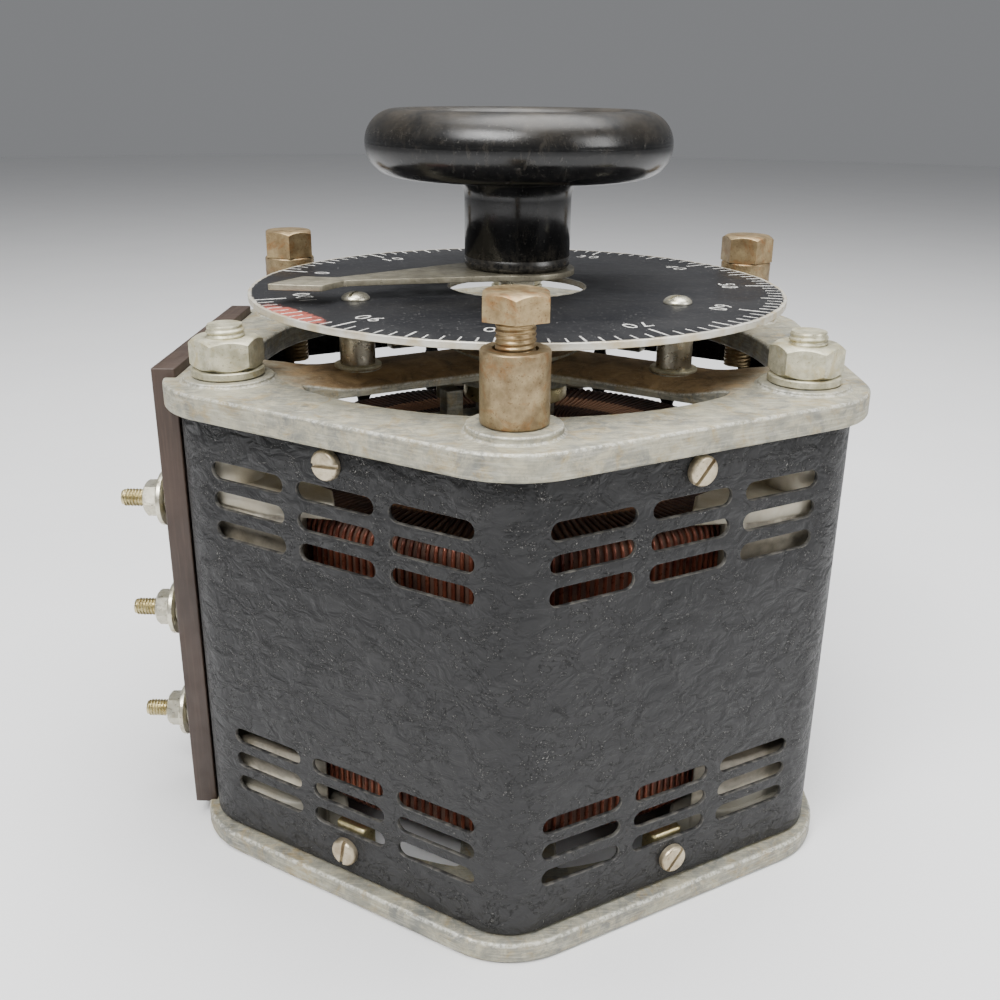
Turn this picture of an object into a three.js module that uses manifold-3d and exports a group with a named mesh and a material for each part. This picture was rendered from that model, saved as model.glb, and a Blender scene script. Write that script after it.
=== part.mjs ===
// A hexagonal open-frame variable autotransformer (variac): a toroidal winding held between two
// castings, a perforated cover, and a knob that turns a brush over the winding through a central shaft.
// Millimetres, +Z up. The origin is the middle of the base's underside, on the shaft's axis.
import * as THREE from "three";
import { mergeVertices } from "three/addons/utils/BufferGeometryUtils.js";
import Module from "manifold-3d";

const wasm = await Module();
wasm.setup();
const rad = THREE.MathUtils.degToRad;

// ---- Driving dimensions ----
const HARDWARE_RADIUS = 80; // circle of the tie rods and the panel posts
const POST_ANGLES = [-90, 30, 150]; // corners that carry a panel post
const ROD_ANGLES = [-30, 90, 210]; // corners that carry a tie rod
const FIT = 0.1; // gap left where two pieces rest on each other
const CUT_GAP = 0.3; // gap left where a piece passes through another

// Castings
const BASE_RADIUS = 98;
const BASE_CORNER = 23.7;
const BASE_THICKNESS = 5.6;
const BASE_HUB_RADIUS = 22;
const BASE_HUB_TOP = 16;
const BASE_WINDOW_RADIUS = 67.5;
const BASE_SPOKE_HALF = 12.7;
const TOP_RADIUS = 98.9;
const TOP_CORNER = 22.9;
const TOP_UNDERSIDE = 121;
const TOP_SURFACE = 127.3;
const TOP_WINDOW_RADIUS = 69.5;
const SPOKE_TOP = 126.6;
const SPOKE_EDGE_TOP = 124.5;
const SPOKE_UNDERSIDE = 122.6;
const SPOKE_HALF = 14;
const TOP_HUB_RADIUS = 17;
const TOP_HUB_BOTTOM = 118.5;
const POST_BOSS_RADIUS = 10.3;
const POST_BOSS_TOP = 129.1;
const NUT_BOSS_RADIUS = 11;
const NUT_BOSS_TOP = 128.3;

// Perforated cover
const COVER_RADIUS = 94;
const COVER_BEND = 14.4;
const COVER_SHEET = 1.2;
const COVER_BOTTOM = BASE_THICKNESS + 0.8;
const COVER_APOTHEM = COVER_RADIUS * Math.cos(rad(30));
const COVER_FACES = [
  { angle: -120, shift: 1 },
  { angle: -60, shift: -1 },
  { angle: 0, shift: 0 },
  { angle: 60, shift: 0 },
  { angle: 120, shift: 0 },
];
const SLOT_LENGTH = 21.8;
const SLOT_HEIGHT = 4.4;
const SLOT_PITCH = 25.9;
const SLOT_ROWS = [108.3, 100.8, 93.2, 35, 27.8, 20.6];
const COVER_SCREW_HEIGHTS = [116.2, 13.2];
const COVER_MOUTH_HALF = 33;
const LUG_DEPTH = 5;
const LUG_HALF = 4.5;
const LUG_LOWER_TOP = 19.6;
const LUG_UPPER_BOTTOM = 110.8;

// Terminal board and its studs
const BOARD_INNER_X = -82.3;
const BOARD_OUTER_X = -88.2;
const BOARD_HALF_WIDTH = 40;
const BOARD_BOTTOM = 4.5;
const BOARD_TOP = 129.4;
const STUD_Y = -22;
const STUD_HEIGHTS = [89.1, 56.4, 23.7];
const STUD_RADIUS = 2.4;
const STUD_TIP_X = -105.4;

// Core and winding
const CORE_INNER = 41;
const CORE_OUTER = 67;
const CORE_BOTTOM = 22.2;
const CORE_TOP = 93;
const WINDING_INNER = 36;
const WINDING_OUTER = 72;
const WINDING_BOTTOM = 17.2;
const WINDING_TOP = 98;
const WINDING_ROUND = 5;
const WINDING_GAP_ANGLE = 183;
const WINDING_GAP_HALF = 7;

// Insulating clamps
const CLAMP_PILLAR_RADIUS = 8.2;
const CLAMP_LOWER_TOP = 27.2;
const CLAMP_UPPER_BOTTOM = 88;
const CLAMP_SHOULDER = 0.62; // where the straight edge ends, as a share of the half width at the tips
const CLAMP_FLANGE = { reach: 66.5, spread: 19, tip: 72.5, tipSpread: 25, apothem: 78.6, nose: 4.5 };
const CLAMP_FLANGE_HEIGHT = 4.6;
const CLAMP_SKIRT = { reach: 72.8, spread: 17, tip: 75.5, tipSpread: 18.5, apothem: 77.4, nose: 4 };
const CLAMP_SKIRT_HEIGHT = 18;
const CLAMP_PEDESTAL = { ...CLAMP_SKIRT, spread: 19, tipSpread: 21.5 };
const CLAMP_OVERLAP = 14.4; // how far a skirt reaches along the winding's outer face

// Tie rods, nuts and posts
const ROD_RADIUS = 4.6;
const ROD_BOTTOM = 1.2;
const ROD_TOP = 140.6;
const NUT_FLATS = 15.24;
const NUT_HEIGHT = 7.2;
const NUT_TURNS = [-15, 0, 19];
const WASHER_RADIUS = 8.7;
const WASHER_HEIGHT = 1.9;
const POST_RADIUS = 7.3;
const POST_BORE = 4.75;
const POST_TOP = 144.8;
const BOLT_FLATS = 13.34;
const BOLT_SHANK = 4.2;

// Dial on its standoffs
const DIAL_RADIUS = 71;
const DIAL_TOP = 143.6;
const DIAL_THICKNESS = 1.6;
const DIAL_HOLE = 18.3;
const STANDOFF_CIRCLE = 46.5;
const STANDOFF_RADIUS = 4.5;

// Rotor: shaft, knob, pointer and brush gear, set at the pointer's angle
const POINTER_ANGLE = -152.3;
const SHAFT_RADIUS = 4.7;
const SHAFT_BOTTOM = 6.5;
const SHAFT_TOP = 176;
const POINTER_TOP = 148.6;
const POINTER_THICKNESS = 1.5;
const KNOB_BOTTOM = POINTER_TOP + FIT;
const KNOB_NECK = 14;
const KNOB_RIM_CENTRE = 31.4;
const KNOB_RIM_ROUND = 8.2;
const KNOB_RIM_HEIGHT = 180.2;
const ARM_HUB_BOTTOM = 103;
const ARM_HUB_TOP = 113.3;
const ARM_HUB_RADIUS = 11;
const BRUSH_CIRCLE = 51;
const STOP_CIRCLE = 19.5;
const STOP_PIN_BOTTOM = 112.5;
const STOP_PIN_RADIUS = 2.5;
const STOP_TOOTH_HALF = 3.2;
const STOP_ANGLE = 183;
const BUSH_RADIUS = 8;
const BUSH_FLANGE_RADIUS = 12.5;

// ---- Materials ----
function paint(colour, roughness, metalness) {
  return new THREE.MeshStandardMaterial({ color: colour, roughness, metalness });
}
const castAluminium = paint(0xb9b7a8, 0.6, 0.6);
const wrinkleBlack = paint(0x232428, 0.5, 0);
const paxolin = paint(0x5a3d2e, 0.6, 0);
const enamelledCopper = paint(0x6b2a1c, 0.35, 0.3);
const coreSteel = paint(0x4a4a4c, 0.5, 0.7);
const creamClamp = paint(0xcfc4a6, 0.6, 0);
const zincSteel = paint(0xc3bd96, 0.4, 0.8);
const tannedSteel = paint(0xb39f7a, 0.5, 0.7);
const dialBlack = paint(0x151617, 0.35, 0.1);
const nickel = paint(0xc2bb9c, 0.35, 0.9);
const brass = paint(0xb59a5a, 0.35, 0.9);
const knobBlack = paint(0x111111, 0.2, 0);
const carbon = paint(0x2b2b2d, 0.6, 0.1);

// ---- Geometry helpers ----
const variac = new THREE.Group();

function addPart(name, geometry, material) {
  const mesh = new THREE.Mesh(geometry, material);
  mesh.name = name;
  variac.add(mesh);
}

function toSolid(geometry) {
  const bare = geometry.clone();
  bare.deleteAttribute("normal");
  bare.deleteAttribute("uv");
  const merged = mergeVertices(bare, 1e-4);
  const vertProperties = merged.attributes.position.array;
  const triVerts = new Uint32Array(merged.index.array);
  return new wasm.Manifold(new wasm.Mesh({ numProp: 3, vertProperties, triVerts }));
}

function toGeometry(solid) {
  const mesh = solid.getMesh();
  const geometry = new THREE.BufferGeometry();
  geometry.setAttribute("position", new THREE.BufferAttribute(mesh.vertProperties, 3));
  geometry.setIndex(new THREE.BufferAttribute(mesh.triVerts, 1));
  geometry.computeVertexNormals();
  return geometry;
}

function shaped(body, joined, cut) {
  let solid = toSolid(body);
  joined.forEach((piece) => {
    solid = solid.add(toSolid(piece));
  });
  cut.forEach((piece) => {
    solid = solid.subtract(toSolid(piece));
  });
  return toGeometry(solid);
}

// A round bar along Z.
function bar(radius, bottom, top, sides = 20) {
  const geometry = new THREE.CylinderGeometry(radius, radius, top - bottom, sides);
  geometry.rotateX(Math.PI / 2);
  return geometry.translate(0, 0, (bottom + top) / 2);
}

// A hexagonal bar along Z; a corner points along +X when turn is 0.
function hexBar(flats, bottom, top, turn = 0) {
  const geometry = bar(flats / Math.sqrt(3), bottom, top, 6);
  return geometry.rotateZ(rad(90 + turn));
}

function block(x0, x1, y0, y1, z0, z1) {
  const geometry = new THREE.BoxGeometry(x1 - x0, y1 - y0, z1 - z0);
  return geometry.translate((x0 + x1) / 2, (y0 + y1) / 2, (z0 + z1) / 2);
}

// A solid of revolution about Z from [radius, height] pairs, listed up the outside.
function turned(profile, sides = 32) {
  const points = profile.map(([radius, height]) => new THREE.Vector2(radius, height));
  const geometry = new THREE.LatheGeometry(points, sides);
  return geometry.rotateX(Math.PI / 2);
}

// Profile points round a quarter or more of a circle.
function arcPoints(centreRadius, centreHeight, radius, fromDeg, toDeg, steps) {
  return Array.from({ length: steps + 1 }, (_, i) => {
    const a = rad(fromDeg + ((toDeg - fromDeg) * i) / steps);
    return [centreRadius + radius * Math.cos(a), centreHeight + radius * Math.sin(a)];
  });
}

// A regular hexagon with rounded corners, one corner towards -Y.
function roundedHexagon(circumradius, cornerRadius) {
  const shape = new THREE.Shape();
  const centre = circumradius - cornerRadius / Math.cos(rad(30));
  [-90, -30, 30, 90, 150, 210].forEach((angle) => {
    const x = centre * Math.cos(rad(angle));
    const y = centre * Math.sin(rad(angle));
    shape.absarc(x, y, cornerRadius, rad(angle - 30), rad(angle + 30), false);
  });
  return shape;
}

function extruded(shape, bottom, top, curveSegments = 2) {
  const depth = top - bottom;
  const geometry = new THREE.ExtrudeGeometry(shape, { depth, bevelEnabled: false, curveSegments });
  return geometry.translate(0, 0, bottom);
}

function polarPoint(radius, angle) {
  return [radius * Math.cos(rad(angle)), radius * Math.sin(rad(angle))];
}

function atPolar(geometry, radius, angle) {
  return geometry.translate(radius * Math.cos(rad(angle)), radius * Math.sin(rad(angle)), 0);
}

// A hexagonal plate whose upper edge is broken by a small chamfer.
function edgedPlate(circumradius, cornerRadius, bottom, top, edge) {
  const lower = extruded(roundedHexagon(circumradius, cornerRadius), bottom, top - edge);
  const upper = extruded(roundedHexagon(circumradius - edge, cornerRadius - edge), bottom, top);
  return shaped(lower, [upper], []);
}

// ---- Castings ----
// A spoke of the top casting: a flat-bottomed bar whose upper face is crowned across its width.
function crownedSpoke(angle, reach) {
  const section = new THREE.Shape();
  section.moveTo(-SPOKE_HALF, SPOKE_UNDERSIDE);
  section.lineTo(SPOKE_HALF, SPOKE_UNDERSIDE);
  section.lineTo(SPOKE_HALF, SPOKE_EDGE_TOP);
  section.quadraticCurveTo(0, 2 * SPOKE_TOP - SPOKE_EDGE_TOP, -SPOKE_HALF, SPOKE_EDGE_TOP);
  section.closePath();
  const length = new THREE.ExtrudeGeometry(section, { depth: reach, bevelEnabled: false, curveSegments: 8 });
  return length.rotateX(rad(90)).rotateZ(rad(angle + 90));
}

const boardRecess = (bottom, top) =>
  block(-110, BOARD_INNER_X + CUT_GAP, -BOARD_HALF_WIDTH - 0.5, BOARD_HALF_WIDTH + 0.5, bottom, top);

// A lug behind a cover face that takes one cover screw.
function coverLug(angle, bottom, top) {
  const apothem = COVER_APOTHEM - COVER_SHEET - CUT_GAP;
  return block(apothem - LUG_DEPTH, apothem, -LUG_HALF, LUG_HALF, bottom, top).rotateZ(rad(angle));
}

const screwPlaces = COVER_FACES.flatMap((face) =>
  COVER_SCREW_HEIGHTS.map((height, row) => ({ ...face, height, row })),
);

function coverScrewHole(place) {
  const hole = bar(2.4, -12, 4, 12).rotateY(Math.PI / 2);
  return hole.translate(COVER_APOTHEM, 0, place.height).rotateZ(rad(place.angle));
}

function baseCasting() {
  const plate = edgedPlate(BASE_RADIUS, BASE_CORNER, 0, BASE_THICKNESS, 1);
  const mouth = bar(BASE_WINDOW_RADIUS, -1, BASE_THICKNESS + 1, 40);
  const spokeReach = BASE_WINDOW_RADIUS + 2;
  const spokes = POST_ANGLES.map((angle) =>
    block(0, spokeReach, -BASE_SPOKE_HALF, BASE_SPOKE_HALF, 0, BASE_THICKNESS).rotateZ(rad(angle)));
  const hub = turned([
    [0, 0],
    [BASE_HUB_RADIUS, 0],
    [BASE_HUB_RADIUS, BASE_THICKNESS + 1.4],
    [12, BASE_HUB_TOP],
    [0, BASE_HUB_TOP],
  ]);
  const lugs = COVER_FACES.map((face) => coverLug(face.angle, 1, LUG_LOWER_TOP));
  const rodHoles = ROD_ANGLES.flatMap((angle) => [
    atPolar(bar(ROD_RADIUS + CUT_GAP, -1, 10), HARDWARE_RADIUS, angle),
    atPolar(bar(9.4, -1, 3.4), HARDWARE_RADIUS, angle),
  ]);
  const bearing = bar(SHAFT_RADIUS + CUT_GAP, SHAFT_BOTTOM - 0.5, BASE_HUB_TOP + 1);
  const screwHoles = screwPlaces.filter((place) => place.row === 1).map(coverScrewHole);
  const rim = shaped(plate, [], [mouth]);
  return shaped(rim, [...spokes, hub, ...lugs], [
    ...rodHoles, bearing, ...screwHoles, boardRecess(BOARD_BOTTOM - CUT_GAP, 10)]);
}

function topCasting() {
  const plate = edgedPlate(TOP_RADIUS, TOP_CORNER, TOP_UNDERSIDE, TOP_SURFACE, 1.4);
  const mouth = bar(TOP_WINDOW_RADIUS, TOP_UNDERSIDE - 1, TOP_SURFACE + 1, 48);
  const spokes = ROD_ANGLES.map((angle) => crownedSpoke(angle, TOP_WINDOW_RADIUS + 1));
  const hub = bar(TOP_HUB_RADIUS, TOP_HUB_BOTTOM, TOP_SURFACE, 32);
  const postBosses = POST_ANGLES.map((angle) =>
    atPolar(bar(POST_BOSS_RADIUS, TOP_UNDERSIDE + 1, POST_BOSS_TOP), HARDWARE_RADIUS, angle));
  const nutBosses = ROD_ANGLES.map((angle) =>
    atPolar(bar(NUT_BOSS_RADIUS, TOP_UNDERSIDE + 1, NUT_BOSS_TOP), HARDWARE_RADIUS, angle));
  const lugs = COVER_FACES.map((face) => coverLug(face.angle, LUG_UPPER_BOTTOM, TOP_SURFACE - 2));
  const pin = bar(STOP_PIN_RADIUS, STOP_PIN_BOTTOM, SPOKE_EDGE_TOP - 0.5, 12);
  const stopPin = atPolar(pin, STOP_CIRCLE, STOP_ANGLE);
  const holes = [...POST_ANGLES, ...ROD_ANGLES].map((angle) =>
    atPolar(bar(ROD_RADIUS + CUT_GAP, 100, 140), HARDWARE_RADIUS, angle));
  const bushSeat = bar(BUSH_RADIUS + CUT_GAP, 100, 140);
  const standoffHoles = ROD_ANGLES.map((angle) => atPolar(bar(2, 100, 140, 12), STANDOFF_CIRCLE, angle));
  const screwHoles = screwPlaces.filter((place) => place.row === 0).map(coverScrewHole);
  const rim = shaped(plate, [], [mouth]);
  return shaped(rim, [...spokes, hub, ...postBosses, ...nutBosses, ...lugs, stopPin], [
    ...holes, bushSeat, ...standoffHoles, ...screwHoles, boardRecess(115, 140)]);
}

addPart("base_casting", baseCasting(), castAluminium);
addPart("top_casting", topCasting(), castAluminium);

// ---- Perforated cover: a sheet bent round five faces, open behind the terminal board ----
function slotCutter(face, column, height) {
  const half = SLOT_LENGTH / 2 - SLOT_HEIGHT / 2;
  const outline = [
    ...arcPoints(half, 0, SLOT_HEIGHT / 2, -90, 90, 3),
    ...arcPoints(-half, 0, SLOT_HEIGHT / 2, 90, 270, 3),
  ];
  const cutter = extruded(new THREE.Shape(outline.map(([x, y]) => new THREE.Vector2(x, y))), -3, 3);
  cutter.rotateX(Math.PI / 2).rotateZ(Math.PI / 2);
  return cutter.translate(COVER_APOTHEM, column * SLOT_PITCH + face.shift, height).rotateZ(rad(face.angle));
}

function caseCover() {
  const top = TOP_UNDERSIDE - FIT;
  const outer = extruded(roundedHexagon(COVER_RADIUS, COVER_BEND), COVER_BOTTOM, top, 3);
  const inset = COVER_SHEET / Math.cos(rad(30));
  const innerShape = roundedHexagon(COVER_RADIUS - inset, COVER_BEND - COVER_SHEET);
  const inner = extruded(innerShape, COVER_BOTTOM - 1, top + 1, 3);
  const mouth = block(-100, -60, -COVER_MOUTH_HALF, COVER_MOUTH_HALF, 0, 130);
  const slots = COVER_FACES.flatMap((face) =>
    SLOT_ROWS.flatMap((height) => [-1, 0, 1].map((column) => slotCutter(face, column, height))));
  return shaped(outer, [], [inner, mouth, ...slots, ...screwPlaces.map(coverScrewHole)]);
}

addPart("case_cover", caseCover(), wrinkleBlack);

// A cheese-headed screw with its slot, head outwards along +X.
function coverScrew(place) {
  const profile = [[0, -7.6], [1.9, -7.6], [1.9, FIT], [3.6, FIT], [3.6, 1.5], [3.1, 2.1], [0, 2.1]];
  const screw = turned(profile, 14).rotateY(Math.PI / 2);
  const slot = block(1.1, 3, -5, 5, -0.5, 0.5).rotateX(rad(place.slot));
  return shaped(screw, [], [slot]).translate(COVER_APOTHEM, 0, place.height).rotateZ(rad(place.angle));
}

const slotAngles = [5, 80, 50, 50, 15, 70, -30, 20, 65, -50];
screwPlaces.forEach((place, i) => {
  addPart(`cover_screw_${i + 1}`, coverScrew({ ...place, slot: slotAngles[i] }), tannedSteel);
});

// ---- Terminal board, studs and nuts ----
function alongMinusX(geometry, y, height) {
  return geometry.rotateY(-Math.PI / 2).translate(0, y, height);
}

const studHoles = STUD_HEIGHTS.map((height) =>
  alongMinusX(bar(STUD_RADIUS + CUT_GAP, 75, 95, 16), STUD_Y, height));
const board = block(
  BOARD_OUTER_X, BOARD_INNER_X, -BOARD_HALF_WIDTH, BOARD_HALF_WIDTH, BOARD_BOTTOM, BOARD_TOP);
addPart("terminal_board", shaped(board, [], studHoles), paxolin);

STUD_HEIGHTS.forEach((height, i) => {
  const inside = -BOARD_INNER_X - FIT;
  const tip = -STUD_TIP_X;
  const stud = turned([[0, inside - 3.4], [5, inside - 3.4], [5, inside], [STUD_RADIUS, inside],
    [STUD_RADIUS, tip - 0.7], [STUD_RADIUS - 0.7, tip], [0, tip]], 14);
  addPart(`terminal_stud_${i + 1}`, alongMinusX(stud, STUD_Y, height), brass);

  const face = -BOARD_OUTER_X + FIT;
  const washers = [bar(6, face, face + 1.1, 16), bar(7.4, face + 4.9, face + 6.3, 18)];
  const lowerNut = hexBar(8.6, face + 0.9, face + 5.1, 10);
  const upperNut = hexBar(8.6, face + 6.1, face + 10.6, 25);
  const bore = bar(STUD_RADIUS + CUT_GAP, face - 2, face + 14, 14);
  const stack = shaped(washers[0], [lowerNut, washers[1], upperNut], [bore]);
  addPart(`terminal_nuts_${i + 1}`, alongMinusX(stack, STUD_Y, height), brass);
});

// ---- Ring core and the winding round it ----
const RING_SIDES = 32;
function squareRing(inner, outer, bottom, top) {
  return turned([[inner, bottom], [outer, bottom], [outer, top], [inner, top], [inner, bottom]], RING_SIDES);
}

function roundedRing(inner, outer, bottom, top, round) {
  const profile = [
    ...arcPoints(outer - round, bottom + round, round, -90, 0, 2),
    ...arcPoints(outer - round, top - round, round, 0, 90, 2),
    ...arcPoints(inner + round, top - round, round, 90, 180, 2),
    ...arcPoints(inner + round, bottom + round, round, 180, 270, 2),
  ];
  return turned([...profile, profile[0]], RING_SIDES);
}

addPart("core", squareRing(CORE_INNER, CORE_OUTER, CORE_BOTTOM, CORE_TOP), coreSteel);

const coreSpace = squareRing(
  CORE_INNER - CUT_GAP, CORE_OUTER + CUT_GAP, CORE_BOTTOM - CUT_GAP, CORE_TOP + CUT_GAP);
const gapHalfWidth = 90 * Math.tan(rad(WINDING_GAP_HALF));
const gapShape = new THREE.Shape();
gapShape.moveTo(0, 0);
gapShape.lineTo(90, -gapHalfWidth);
gapShape.lineTo(90, gapHalfWidth);
const windingGap = extruded(gapShape, 0, 130).rotateZ(rad(WINDING_GAP_ANGLE));
const windingRing = roundedRing(WINDING_INNER, WINDING_OUTER, WINDING_BOTTOM, WINDING_TOP, WINDING_ROUND);
addPart("winding", shaped(windingRing, [], [coreSpace, windingGap]), enamelledCopper);

// ---- Insulating clamps at the tie rods: a pillar, a flange on the winding and a skirt outside it.
// The lower ones stand on the base, so their flange and skirt go down to it. ----
// The plan of a flange or skirt between the round winding and the cover's corner; apothem is the
// distance from the middle axis to its straight edges.
function cornerPlan(plan) {
  const onFace = (y) => [(plan.apothem - y * Math.sin(rad(30))) / Math.cos(rad(30)), y];
  const tip = polarPoint(plan.tip, plan.tipSpread);
  const half = [onFace(plan.nose), onFace(tip[1] * CLAMP_SHOULDER), tip];
  const mirrored = half.map(([x, y]) => [x, -y]).reverse();
  const inner = arcPoints(0, 0, plan.reach, plan.spread, -plan.spread, 4);
  return new THREE.Shape([...mirrored, ...half, ...inner].map(([x, y]) => new THREE.Vector2(x, y)));
}

// Each of the three ranges is [bottom, top].
function clamp(angle, pillarRange, flangeRange, skirtPlan, skirtRange) {
  const pillar = bar(CLAMP_PILLAR_RADIUS, ...pillarRange, 16).translate(HARDWARE_RADIUS + 1, 0, 0);
  const flange = extruded(cornerPlan(CLAMP_FLANGE), ...flangeRange);
  const skirt = extruded(cornerPlan(skirtPlan), ...skirtRange);
  const rod = bar(ROD_RADIUS + CUT_GAP, 0, 140).translate(HARDWARE_RADIUS, 0, 0);
  return shaped(pillar, [flange, skirt], [rod]).rotateZ(rad(angle));
}

const upperFlange = WINDING_TOP + FIT;
const upperSkirt = upperFlange - CLAMP_OVERLAP;
const footTop = WINDING_BOTTOM - FIT;
const clampSeat = BASE_THICKNESS + FIT;
ROD_ANGLES.forEach((angle, i) => {
  const lower = clamp(
    angle,
    [clampSeat, CLAMP_LOWER_TOP],
    [clampSeat + 0.2, footTop],
    CLAMP_PEDESTAL,
    [clampSeat + 0.4, footTop + CLAMP_OVERLAP],
  );
  addPart(`lower_clamp_${i + 1}`, lower, creamClamp);
  const upper = clamp(
    angle,
    [CLAMP_UPPER_BOTTOM, TOP_UNDERSIDE - FIT],
    [upperFlange, upperFlange + CLAMP_FLANGE_HEIGHT],
    CLAMP_SKIRT,
    [upperSkirt, upperSkirt + CLAMP_SKIRT_HEIGHT],
  );
  addPart(`upper_clamp_${i + 1}`, upper, creamClamp);
});

// ---- Tie rods with their washers and nuts ----
ROD_ANGLES.forEach((angle, i) => {
  const rod = turned([[0, ROD_BOTTOM], [8, ROD_BOTTOM], [8, 3.3], [ROD_RADIUS, 3.3],
    [ROD_RADIUS, ROD_TOP - 1.2], [ROD_RADIUS - 1, ROD_TOP], [0, ROD_TOP]], 16);
  addPart(`tie_rod_${i + 1}`, atPolar(rod, HARDWARE_RADIUS, angle), tannedSteel);

  const bore = bar(ROD_RADIUS + CUT_GAP, 100, 150);
  const washerTop = NUT_BOSS_TOP + FIT + WASHER_HEIGHT;
  const washer = shaped(bar(WASHER_RADIUS, NUT_BOSS_TOP + FIT, washerTop), [], [bore]);
  addPart(`rod_washer_${i + 1}`, atPolar(washer, HARDWARE_RADIUS, angle), zincSteel);

  const nutBottom = washerTop + FIT;
  const hexagon = hexBar(NUT_FLATS, nutBottom, nutBottom + NUT_HEIGHT, NUT_TURNS[i]);
  const nut = shaped(hexagon, [], [bore]);
  addPart(`rod_nut_${i + 1}`, atPolar(nut, HARDWARE_RADIUS, angle), zincSteel);
});

// ---- Panel posts with their bolts; the front bolt stands a few turns out ----
const boltPlaces = [
  { angle: POST_ANGLES[0], headBottom: 150.7, headHeight: 5.7, turn: 90 },
  { angle: POST_ANGLES[1], headBottom: POST_TOP + FIT, headHeight: 7.6, turn: 100 },
  { angle: POST_ANGLES[2], headBottom: POST_TOP + FIT, headHeight: 7.6, turn: 102 },
];
boltPlaces.forEach((place, i) => {
  const bore = bar(POST_BORE, 100, 150);
  const post = shaped(bar(POST_RADIUS, POST_BOSS_TOP + FIT, POST_TOP, 28), [], [bore]);
  addPart(`panel_post_${i + 1}`, atPolar(post, HARDWARE_RADIUS, place.angle), tannedSteel);

  const head = hexBar(BOLT_FLATS, place.headBottom, place.headBottom + place.headHeight, place.turn);
  const shank = bar(BOLT_SHANK, place.headBottom - 32, place.headBottom + 1);
  const bolt = shaped(head, [shank], []);
  addPart(`panel_bolt_${i + 1}`, atPolar(bolt, HARDWARE_RADIUS, place.angle), tannedSteel);
});

// ---- Dial plate on three standoffs ----
const dialUnderside = DIAL_TOP - DIAL_THICKNESS;
const dialDisc = bar(DIAL_RADIUS, dialUnderside, DIAL_TOP, 60);
const dialScrewHoles = ROD_ANGLES.map((angle) => atPolar(bar(2.1, 130, 150, 12), STANDOFF_CIRCLE, angle));
const dialPlate = shaped(dialDisc, [], [bar(DIAL_HOLE, 130, 150, 28), ...dialScrewHoles]);
addPart("dial_plate", dialPlate, dialBlack);

ROD_ANGLES.forEach((angle, i) => {
  const standoff = bar(STANDOFF_RADIUS, SPOKE_TOP + FIT, dialUnderside - FIT, 24);
  const tapped = bar(2, dialUnderside - 8, dialUnderside + 2, 12);
  addPart(`dial_standoff_${i + 1}`, atPolar(shaped(standoff, [], [tapped]), STANDOFF_CIRCLE, angle), nickel);

  const head = DIAL_TOP + FIT;
  const screw = turned([[0, head - 7], [1.7, head - 7], [1.7, head], [3.6, head], [3.4, head + 0.5],
    [2.4, head + 1.5], [0, head + 1.9]], 16);
  addPart(`dial_screw_${i + 1}`, atPolar(screw, STANDOFF_CIRCLE, angle), nickel);
});

// ---- Shaft bush in the top casting's hub ----
const bushBore = SHAFT_RADIUS + 0.14;
const bushProfile = [
  [bushBore, TOP_HUB_BOTTOM - 0.5],
  [BUSH_RADIUS, TOP_HUB_BOTTOM - 0.5],
  [BUSH_RADIUS, TOP_SURFACE + FIT],
  [BUSH_FLANGE_RADIUS, TOP_SURFACE + FIT],
  [BUSH_FLANGE_RADIUS, 130.6],
  [BUSH_RADIUS + 0.6, 134],
  [bushBore, 134],
  [bushBore, TOP_HUB_BOTTOM - 0.5],
];
addPart("shaft_bush", turned(bushProfile, 32), brass);

// ---- Rotor: everything that turns with the knob ----
addPart("shaft", bar(SHAFT_RADIUS, SHAFT_BOTTOM, SHAFT_TOP, 32), nickel);

const onShaft = bar(SHAFT_RADIUS + CUT_GAP, 90, SHAFT_TOP + CUT_GAP, 32);

function knob() {
  const rim = KNOB_RIM_CENTRE;
  const profile = [
    [0, KNOB_BOTTOM],
    [KNOB_NECK - 0.5, KNOB_BOTTOM],
    [KNOB_NECK, KNOB_BOTTOM + 1],
    [KNOB_NECK, 169.5],
    [KNOB_NECK + 2, 171.4],
    ...arcPoints(rim, KNOB_RIM_HEIGHT, KNOB_RIM_ROUND, -90, 90, 8),
    [rim - 3, KNOB_RIM_HEIGHT + 7.2],
    [rim - 5.2, KNOB_RIM_HEIGHT + 3.6],
    [rim - 7.4, KNOB_RIM_HEIGHT + 0.6],
    [0, KNOB_RIM_HEIGHT],
  ];
  return shaped(turned(profile, 36), [], [onShaft]);
}
addPart("knob", knob(), knobBlack);

// The pointer: a disc under the knob, a tapered arm and a kite-shaped tip.
function pointer() {
  const outline = [[0, -14.4], [49.6, -2.6], [57, -7.5], [68.2, 0], [57, 7.5], [49.6, 2.6], [0, 14.4]];
  const shape = new THREE.Shape(outline.map(([x, y]) => new THREE.Vector2(x, y)));
  const bottom = POINTER_TOP - POINTER_THICKNESS;
  const arm = extruded(shape, bottom, POINTER_TOP);
  return shaped(arm, [bar(15.4, bottom, POINTER_TOP, 32)], [onShaft]).rotateZ(rad(POINTER_ANGLE));
}
addPart("pointer", pointer(), nickel);

const slipRing = shaped(bar(14.3, ARM_HUB_TOP + FIT, 117.4, 32), [], [onShaft]);
addPart("slip_ring", slipRing, brass);

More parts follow.
